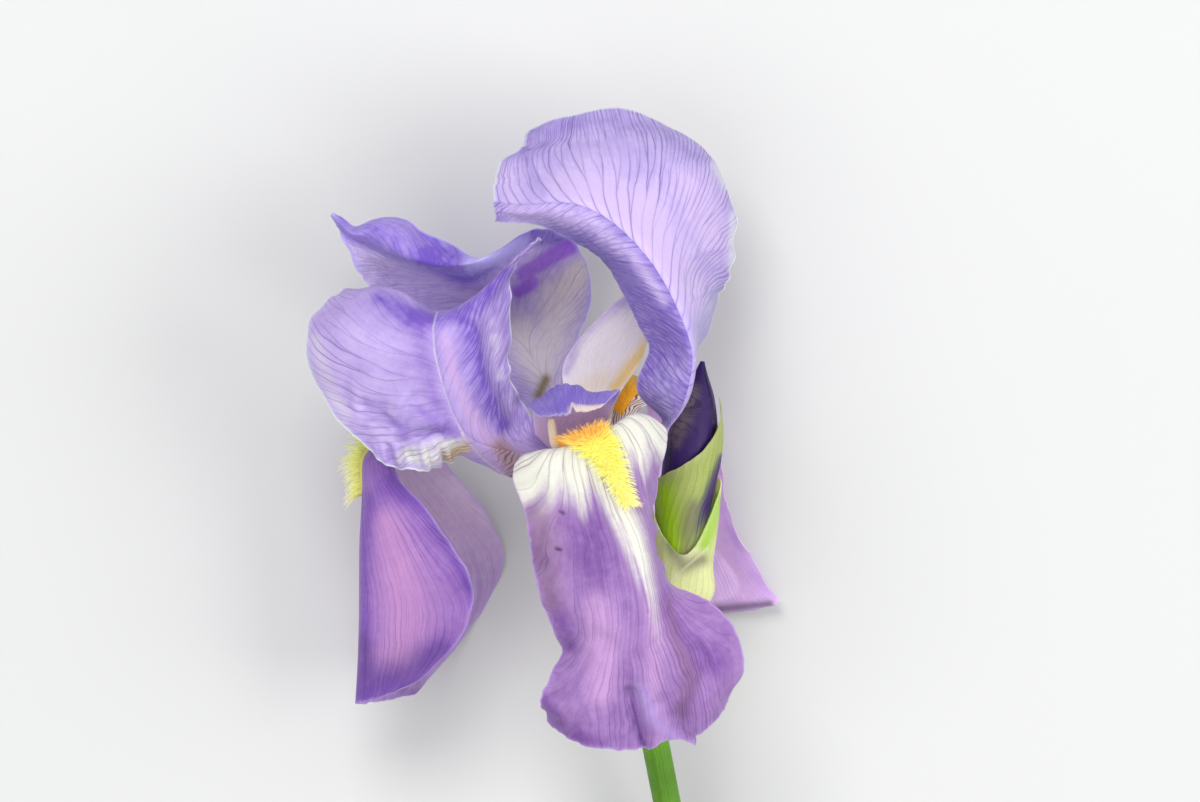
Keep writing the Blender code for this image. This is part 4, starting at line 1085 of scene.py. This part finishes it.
def turns(count):
    """Angles evenly round a circle."""
    return np.linspace(0, 2 * np.pi, count, endpoint=False)


def rings(points, radii, around):
    """Rings round a line; radii may differ round it, one row for each point."""
    sides, ups = frames_along(points)
    angles = turns(around)[None, :, None]
    circle = sides[:, None] * np.cos(angles) + ups[:, None] * np.sin(angles)
    return points[:, None] + circle * np.reshape(radii, (len(points), -1, 1))


def ring_faces(index):
    """Faces between the neighbours in rows of rings, given by the numbers of their vertices."""
    beside = np.roll(index, -1, axis=1)
    return np.stack([index[:-1], beside[:-1], beside[1:], index[1:]], axis=-1).reshape(-1, 4).tolist()


def rod(name, points, radii, around, look):
    """A closed round piece along a line, with a point in the middle of each end."""
    index = np.arange(len(points) * around).reshape(-1, around)
    faces = ring_faces(index)
    first, last = index[0].tolist(), index[-1].tolist()
    faces += [[index.size, b, a] for a, b in zip(first, first[1:] + first[:1])]
    faces += [[index.size + 1, a, b] for a, b in zip(last, last[1:] + last[:1])]
    vertices = np.concatenate([rings(points, radii, around).reshape(-1, 3), points[[0, -1]]])
    return new_object(name, vertices, faces, look)


def store_round(piece, name, shape, *values):
    """Keep three values for the rings of a rod, and zeros for the middles of its ends."""
    store(piece, name, *(np.append(np.broadcast_to(value, shape).ravel(), (0.0, 0.0)) for value in values))


def beard(name, node_name, sheet, path, side, hairs, length, seed, look):
    """Curved tapered hairs on a fall's haft. The path's rows are (share, row, column, half width)."""
    draw = random.Random(seed)
    shares, *placed = np.array(path).T
    count_v, count_u = sheet.cage.shape[:2]
    t = np.linspace(0, 1, HAIR_RINGS)
    vertices, faces, values = [], [], []
    for i in range(hairs):
        share = (i + draw.random()) / hairs
        offset = draw.uniform(-1, 1)
        place_v, middle, width = (np.interp(share, shares, places) for places in placed)
        place_u = middle + width * offset
        nearby = []
        for dv, du in ((0, 0), (NEARBY, 0), (0, NEARBY)):
            weights = spline_weights(count_v, place_v + dv)[0], spline_weights(count_u, place_u + du)[0]
            nearby.append(np.einsum("i,j,ijk->k", *weights, sheet.cage))
        point, ahead, beside = nearby[0], unit(nearby[1] - nearby[0]), nearby[2] - nearby[0]
        normal = unit(np.cross(ahead, beside)) * side
        aside = unit(np.cross(ahead, normal)) * side
        lean = 0.15 + 0.7 * share + draw.uniform(-0.25, 0.3)
        splay = -1.1 * offset * side + draw.uniform(-0.5, 0.5)
        start = unit(normal + 0.3 * splay * aside + 0.3 * lean * ahead)
        end = unit(normal * 0.8 + splay * aside + lean * ahead)
        reach = length * draw.uniform(0.6, 1.2) * (1 - 0.25 * share)
        radius = HAIR_RADIUS * draw.uniform(0.8, 1.2)
        line = point + normal * 0.1 + reach * (start * t[:, None] + (end - start) * (t ** 2)[:, None] * 0.7)
        index = len(vertices) + np.arange(HAIR_RINGS * HAIR_SIDES).reshape(HAIR_RINGS, HAIR_SIDES)
        vertices.extend(rings(line, radius * (1.1 - 0.85 * t ** 1.5), HAIR_SIDES).reshape(-1, 3))
        faces += ring_faces(index) + [index[0, ::-1].tolist(), index[-1].tolist()]
        gold, whitish = 1 - step(0.12, 0.47, share), step(0.3, 0.9, share)
        for along in t:
            values += [(gold * (1 - 0.35 * along), whitish, along)] * HAIR_SIDES
    piece = new_object(name, np.array(vertices), faces, look)
    store(piece, "hair", *np.array(values).T)
    install(piece, node_name)
    beard_pad(name + "_pad", node_name, sheet, path, side, look)


def beard_pad(name, node_name, sheet, path, side, look):
    """The cushion that the hairs stand on."""
    shape = (40, 13)
    count_v, count_u = sheet.cage.shape[:2]
    share, across = (np.linspace(low, 1, count) for low, count in zip((0, -1), shape))
    shares, *placed = np.array(path).T
    places_v, middle, width = (np.interp(share, shares, places) for places in placed)
    weights_v = spline_weights(count_v, places_v)
    points = np.zeros((*shape, 3))
    for j, offset in enumerate(across):
        weights_u = spline_weights(count_u, middle + width * offset)
        points[:, j] = np.einsum("ni,nj,ijk->nk", weights_v, weights_u, sheet.cage)
    normals = unit(np.cross(np.gradient(points, axis=0), np.gradient(points, axis=1))) * side
    domed = np.sqrt(1 - across ** 2)[None, :] * np.sqrt(np.maximum(1 - (2 * share - 1) ** 6, 0))[:, None]
    upper = points + normals * (0.2 + 0.9 * domed)[..., None]
    lower = points + normals * 0.1
    if side < 0:
        upper, lower = upper[:, ::-1], lower[:, ::-1]
    vertices = np.concatenate([upper.reshape(-1, 3), lower.reshape(-1, 3)])
    piece = new_object(name, vertices, closed_faces(*shape), look)
    share = share[:, None]
    store_both(piece, "hair", shape, (1 - step(0.12, 0.47, share), step(0.35, 0.9, share), 0))
    install(piece, node_name)


def bud_piece(look):
    """The bud: three petals furled round each other to a point."""
    points, radii = lines_of(BUD_LINE, 14)
    around = 96
    along = np.linspace(0, 1, len(points))[:, None]
    turn = (turns(around)[None, :] / (2 * np.pi) * 3 + along * 0.9 + 0.6) % 1.0
    grown = step(0.35, 0.6, along) * (1 - step(0.97, 1.0, along))
    layered = 1 - 0.10 * turn * grown
    ribs = 0.004 * np.cos(turn * 2 * np.pi * 5) * grown
    radii = radii[:, None] * (layered + ribs)
    piece = rod("bud_furled", points, radii, around, look)
    drawn = over_picture(rings(points, radii, around))
    # A grey-beige patch of painted sheen on the bud's upper left
    streak = stroke(*drawn, ((674, 442, 7), (682, 418, 11), (692, 392, 8)))
    # edge_line: painted shade along the furled edges, where one layer lies over the next
    edge_line = np.maximum(bell(turn, 0, 0.05), bell(turn, 1, 0.03)) * grown
    store_round(piece, "bud", turn.shape, streak, edge_line, along + 0.06 * turn)
    install(piece, "bud")


def sheath_table(starts, ends, mouth, base, clearance):
    """Rings of points round the bud, between a base and an uneven mouth."""
    points, radii = lines_of(BUD_LINE, 6)
    rights, downs = over_picture(points)
    order = np.argsort(downs)
    table = []
    for i, (start, end) in enumerate(zip(starts, ends)):
        row = []
        for angle in np.linspace(start, end, 9):
            down = base + (np.interp(angle, *zip(*mouth)) - base) * i / (len(starts) - 1)
            right, height, radius = (np.interp(down, downs[order], values[order])
                                     for values in (rights, points[:, 2], radii + clearance))
            row.append(round_point((right, down, height), radius, angle))
        table.append(row)
    return table


def wrap(name, node_name, table, look, seed, papery_from, depth, flush, swell=0.0):
    """A bract round the bud, with a thin uneven mouth."""
    sheet = Sheet(table, 120, 90, 4.0)
    sheet.move(swell * (bell(sheet.down, 606, 26) * step(685, 715, sheet.right)), 0)
    sheet.scallop(seed, 0.25, 16)
    v, s = sheet.v, sheet.s
    thickness = 0.3 + 0.3 * (1 - step(0.1, 0.7, v)) * (1 - step(0.5, 1.0, np.abs(s)))
    piece = sheet_object(name, sheet, thickness, look)
    rib, *flushed = flush(sheet)
    papery = np.maximum.reduce([0.4 * rim_mask(sheet, 0.5), 0.2 * step(papery_from, 1.0, v), rib + 0 * v])
    store_both(piece, "leaf", v.shape, ((s + 1) / 2, papery, depth))
    store_both(piece, "flush", v.shape, flushed)
    install(piece, node_name)


def bract_flush(sheet):
    """No pale rib; a deep violet streak down the right, lime at the left, and smoky between them."""
    purple = sheet.stroke((724, 460, 8), (714, 490, 10), (704, 516, 9), (696, 536, 6), (690, 556, 3))
    purple = purple * (1 - 0.8 * step(500, 556, sheet.down + 3 * uneven(163, sheet.right / 2.5)))
    lime = sheet.most((1, (664, 492, 11), (668, 520, 13), (674, 545, 11)),
                      (1, (724, 504, 5), (716, 530, 6), (704, 554, 6)))
    smoky = 0.9 * sheet.stroke((694, 506, 8), (684, 535, 10), (686, 558, 9))
    return 0, purple, lime, smoky * (1 - lime)


def spathe_flush(sheet):
    """A pale rib, no violet, greener at its mouth, and a smoky patch under the bract."""
    rib = 0.5 * sheet.stroke((669, 583, 1.4), (690, 564, 1.4), (708, 548, 1.4))
    lime = sheet.total((0.7, (664, 520, 6), (674, 552, 6)), (0.9, (718, 500, 8), (704, 545, 8)))
    return rib, 0, lime, 0.75 * sheet.stroke((670, 545, 5), (684, 566, 8), (702, 560, 7))


def ridged_rod(name, node_name, line, look, ridges, height):
    """The stem or tube: round, with low ridges along it."""
    points, radii = lines_of(line, 16)
    around = 72
    angles = turns(around)
    along = np.linspace(0, 1, len(points))[:, None]
    wave = np.cos(angles * ridges + 1.5 * uneven(5, along * 6) * 0.3)
    piece = rod(name, points, radii[:, None] - height + height * wave, around, look)
    store_round(piece, "leaf", wave.shape, angles / (2 * np.pi), 0, 0.4 + 0.25 * uneven(6, along * 8))
    store_round(piece, "flush", wave.shape, 0, 0, 0)
    install(piece, node_name)


def stamen(name, node_name, line, look):
    """A filament that ends in a flat anther with two lobes."""
    points, radii = lines_of(line, 8)
    around = 20
    angles = turns(around)
    along = np.linspace(0, 1, len(points))[:, None]
    lobes = 1 + step(0.55, 0.68, along) * (0.1 * np.abs(np.cos(angles)) - 0.3 * np.abs(np.sin(angles)) ** 3)
    closing = 1 - 0.35 * step(0.95, 1.0, along)
    piece = rod(name, points, radii[:, None] * lobes * closing, around, look)
    install(piece, node_name)


def studio():
    """A pale floor, soft light from above and from the front, and the camera."""
    shading = Shading("floor_pale")
    speckle = shading.noise(3.0)
    base = shading.mix(speckle, (196, 197, 196), (202, 202, 200))
    floor_look = shading.finish(base, 0.8, shading.bumps((speckle, 0.02, 0.001)), specular=0.2)
    corners = [(x * FLOOR_REACH, y * FLOOR_REACH, FLOOR_LEVEL)
               for x, y in ((-1, -1), (1, -1), (1, 1), (-1, 1))]
    new_object("floor", corners, [[0, 1, 2, 3]], floor_look)
    for name, place, power, size in (("key", (-0.25, 0.75, 1.3), 12.0, 0.7),
                                     ("fill", (-0.6, -0.4, 1.5), 8.0, 1.2),
                                     ("side", (1.1, -0.1, 1.0), 12.0, 0.9)):
        lamp = bpy.data.lights.new(name, "AREA")
        lamp.energy = power
        lamp.size = size
        light = linked(name, lamp)
        light.location = place
        light.rotation_mode = "QUATERNION"
        light.rotation_quaternion = (Vector(place) - Vector(LIT_PLACE)).to_track_quat("Z", "Y")
    world = bpy.data.worlds.new("soft_light")
    world.use_nodes = True
    background = world.node_tree.nodes["Background"]
    background.inputs["Color"].default_value = colour(250, 250, 255)
    background.inputs["Strength"].default_value = 0.66
    bpy.context.scene.world = world
    view = bpy.data.cameras.new("camera")
    view.lens = 600.0
    view.sensor_width = 36.0
    camera = linked("camera", view)
    camera.location = table_to_mm((*PHOTO_MIDDLE, CAMERA_HEIGHT)) * MM
    bpy.context.scene.camera = camera


def main():
    """Build and install every piece."""
    bpy.context.scene.view_settings.view_transform = "Standard"
    fall_look = petal_look("fall_skin", (202, 166, 220), (120, 70, 160), (86, 48, 130), (240, 240, 228),
                           (244, 224, 120), (206, 180, 236), (212, 162, 206), 0.075)
    left_look = petal_look("fall_left_skin", (206, 160, 220), (122, 78, 188), (92, 54, 150),
                           (236, 222, 238), (240, 196, 60), (206, 182, 242), (216, 160, 206), 0.08)
    # The rear fall's colours are lighter than the front fall's: painted light for a petal low in the flower's
    # shade
    rear_look = petal_look("fall_rear_skin", (248, 216, 255), (200, 160, 250), (150, 100, 206),
                           (252, 244, 236), (255, 222, 60), (236, 214, 250), (240, 196, 246), 0.08)
    fan_look = petal_look("standard_side_skin", (216, 200, 246), (116, 88, 198), (98, 74, 160),
                          (244, 240, 236), (190, 130, 66), (238, 248, 230), (228, 204, 240), 0.085,
                          wander=0.5, stripe_rate=3.0)
    lobe_look = petal_look("standard_left_skin", (212, 196, 242), (126, 90, 198), (92, 64, 156),
                           (236, 236, 232), (222, 180, 80), (234, 246, 236), (214, 178, 222), 0.085,
                           wander=0.6, stripe_rate=4.5)
    wing_look = petal_look("standard_back_skin", (226, 212, 244), (138, 104, 216), (112, 90, 170),
                           (244, 240, 234), (156, 146, 60), (214, 208, 255), (184, 106, 238), 0.085,
                           wander=0.6, stripe_rate=3.0)
    style_look = petal_look("style_skin", (212, 192, 234), (130, 110, 204), (130, 104, 176),
                            (248, 244, 244), (244, 212, 70), (240, 236, 248), (230, 194, 218), 0.08, 0.4)
    green = leaf_look("bract_skin", (186, 198, 112), (140, 162, 60), (100, 112, 52), (222, 222, 160), 22)
    paper = leaf_look("spathe_skin", (252, 255, 196), (226, 232, 156), (196, 198, 138), (255, 252, 220), 18,
                      0.4)
    stalk = leaf_look("stem_skin", (102, 160, 14), (66, 118, 6), (66, 106, 26), (112, 150, 48), 24, 0.1)
    tube = leaf_look("tube_skin", (150, 170, 100), (106, 134, 70), (88, 102, 72), (150, 170, 100), 18, 0.1)
    hairs = hair_look("beard_gold", (255, 166, 0), (255, 255, 150), (238, 220, 84), 0.14)
    pale_hairs = hair_look("beard_pale", (236, 222, 70), (250, 252, 160), (206, 196, 60), 0.08)
    ochre_hairs = hair_look("beard_ochre", (250, 200, 40), (250, 214, 80), (240, 190, 40), 0.14)
    pollen = pollen_look()

    front, left, rear = front_fall(fall_look), left_fall(left_look), rear_fall(rear_look)
    side_standard(fan_look)
    left_standard(lobe_look)
    back_standard(wing_look)
    style_arm("style_arm_front", STYLE_FRONT, FRONT, style_look, 131, paint_front_arm, 0.8)
    style_arm("style_arm_rear", STYLE_REAR, REAR, style_look, 141, paint_rear_arm)
    style_arm("style_arm_left", STYLE_LEFT, LEFT, style_look, 151, paint_left_arm)
    install(rod("style_column", *lines_of(STYLE_COLUMN, 10), 40, pollen), "style")
    beard("beard_front_hairs", "beard_front", front,
          [(0, 1.55, 2.55, 0.65), (0.25, 2.1, 2.95, 0.65), (0.6, 3.05, 3.4, 0.45), (1, 4.3, 3.95, 0.3)],
          1, 1700, 4.2, 7, hairs)
    beard("beard_left_hairs", "beard_left", left, [(0, 2.2, 2.0, 0.25), (1, 4.3, 2.0, 0.15)], -1, 380, 7.4, 8,
          pale_hairs)
    beard("beard_rear_hairs", "beard_rear", rear, [(0, 1.5, 2.0, 0.5), (1, 3.0, 2.0, 0.3)], 1, 500, 2.6, 9,
          ochre_hairs)
    for place, line in (("front", STAMEN_FRONT), ("left", STAMEN_LEFT), ("rear", STAMEN_REAR)):
        stamen(f"stamen_{place}_soft", f"stamen_{place}", line, pollen)
    bud_piece(bud_look())
    bract_mouth = [(-230, 440), (-190, 450), (-150, 465), (-100, 485), (-60, 478), (-20, 468),
                   (20, 452), (60, 425), (100, 398)]
    bract_table = sheath_table([-230] * 7, [10, 20, 32, 48, 66, 88, 104], bract_mouth, 640, 1.12)
    wrap("bract_wrap", "bract", bract_table, green, 161, 0.9, 0.4, bract_flush)
    spathe_mouth = [(-95, 498), (-60, 522), (-25, 548), (10, 556), (45, 520), (80, 486), (120, 478),
                    (160, 484), (200, 500)]
    spathe_table = sheath_table([-55, -63, -73, -83, -92, -95, -95], [200] * 7, spathe_mouth, 696, 2.2)
    wrap("spathe_wrap", "spathe", spathe_table, paper, 171, 0.85, 0.15, spathe_flush, 6.5)
    ridged_rod("stem_ridged", "stem", STEM_LINE, stalk, 9, 0.10)
    ridged_rod("perianth_ridged", "perianth_tube", TUBE_LINE, tube, 6, 0.12)
    studio()


main()
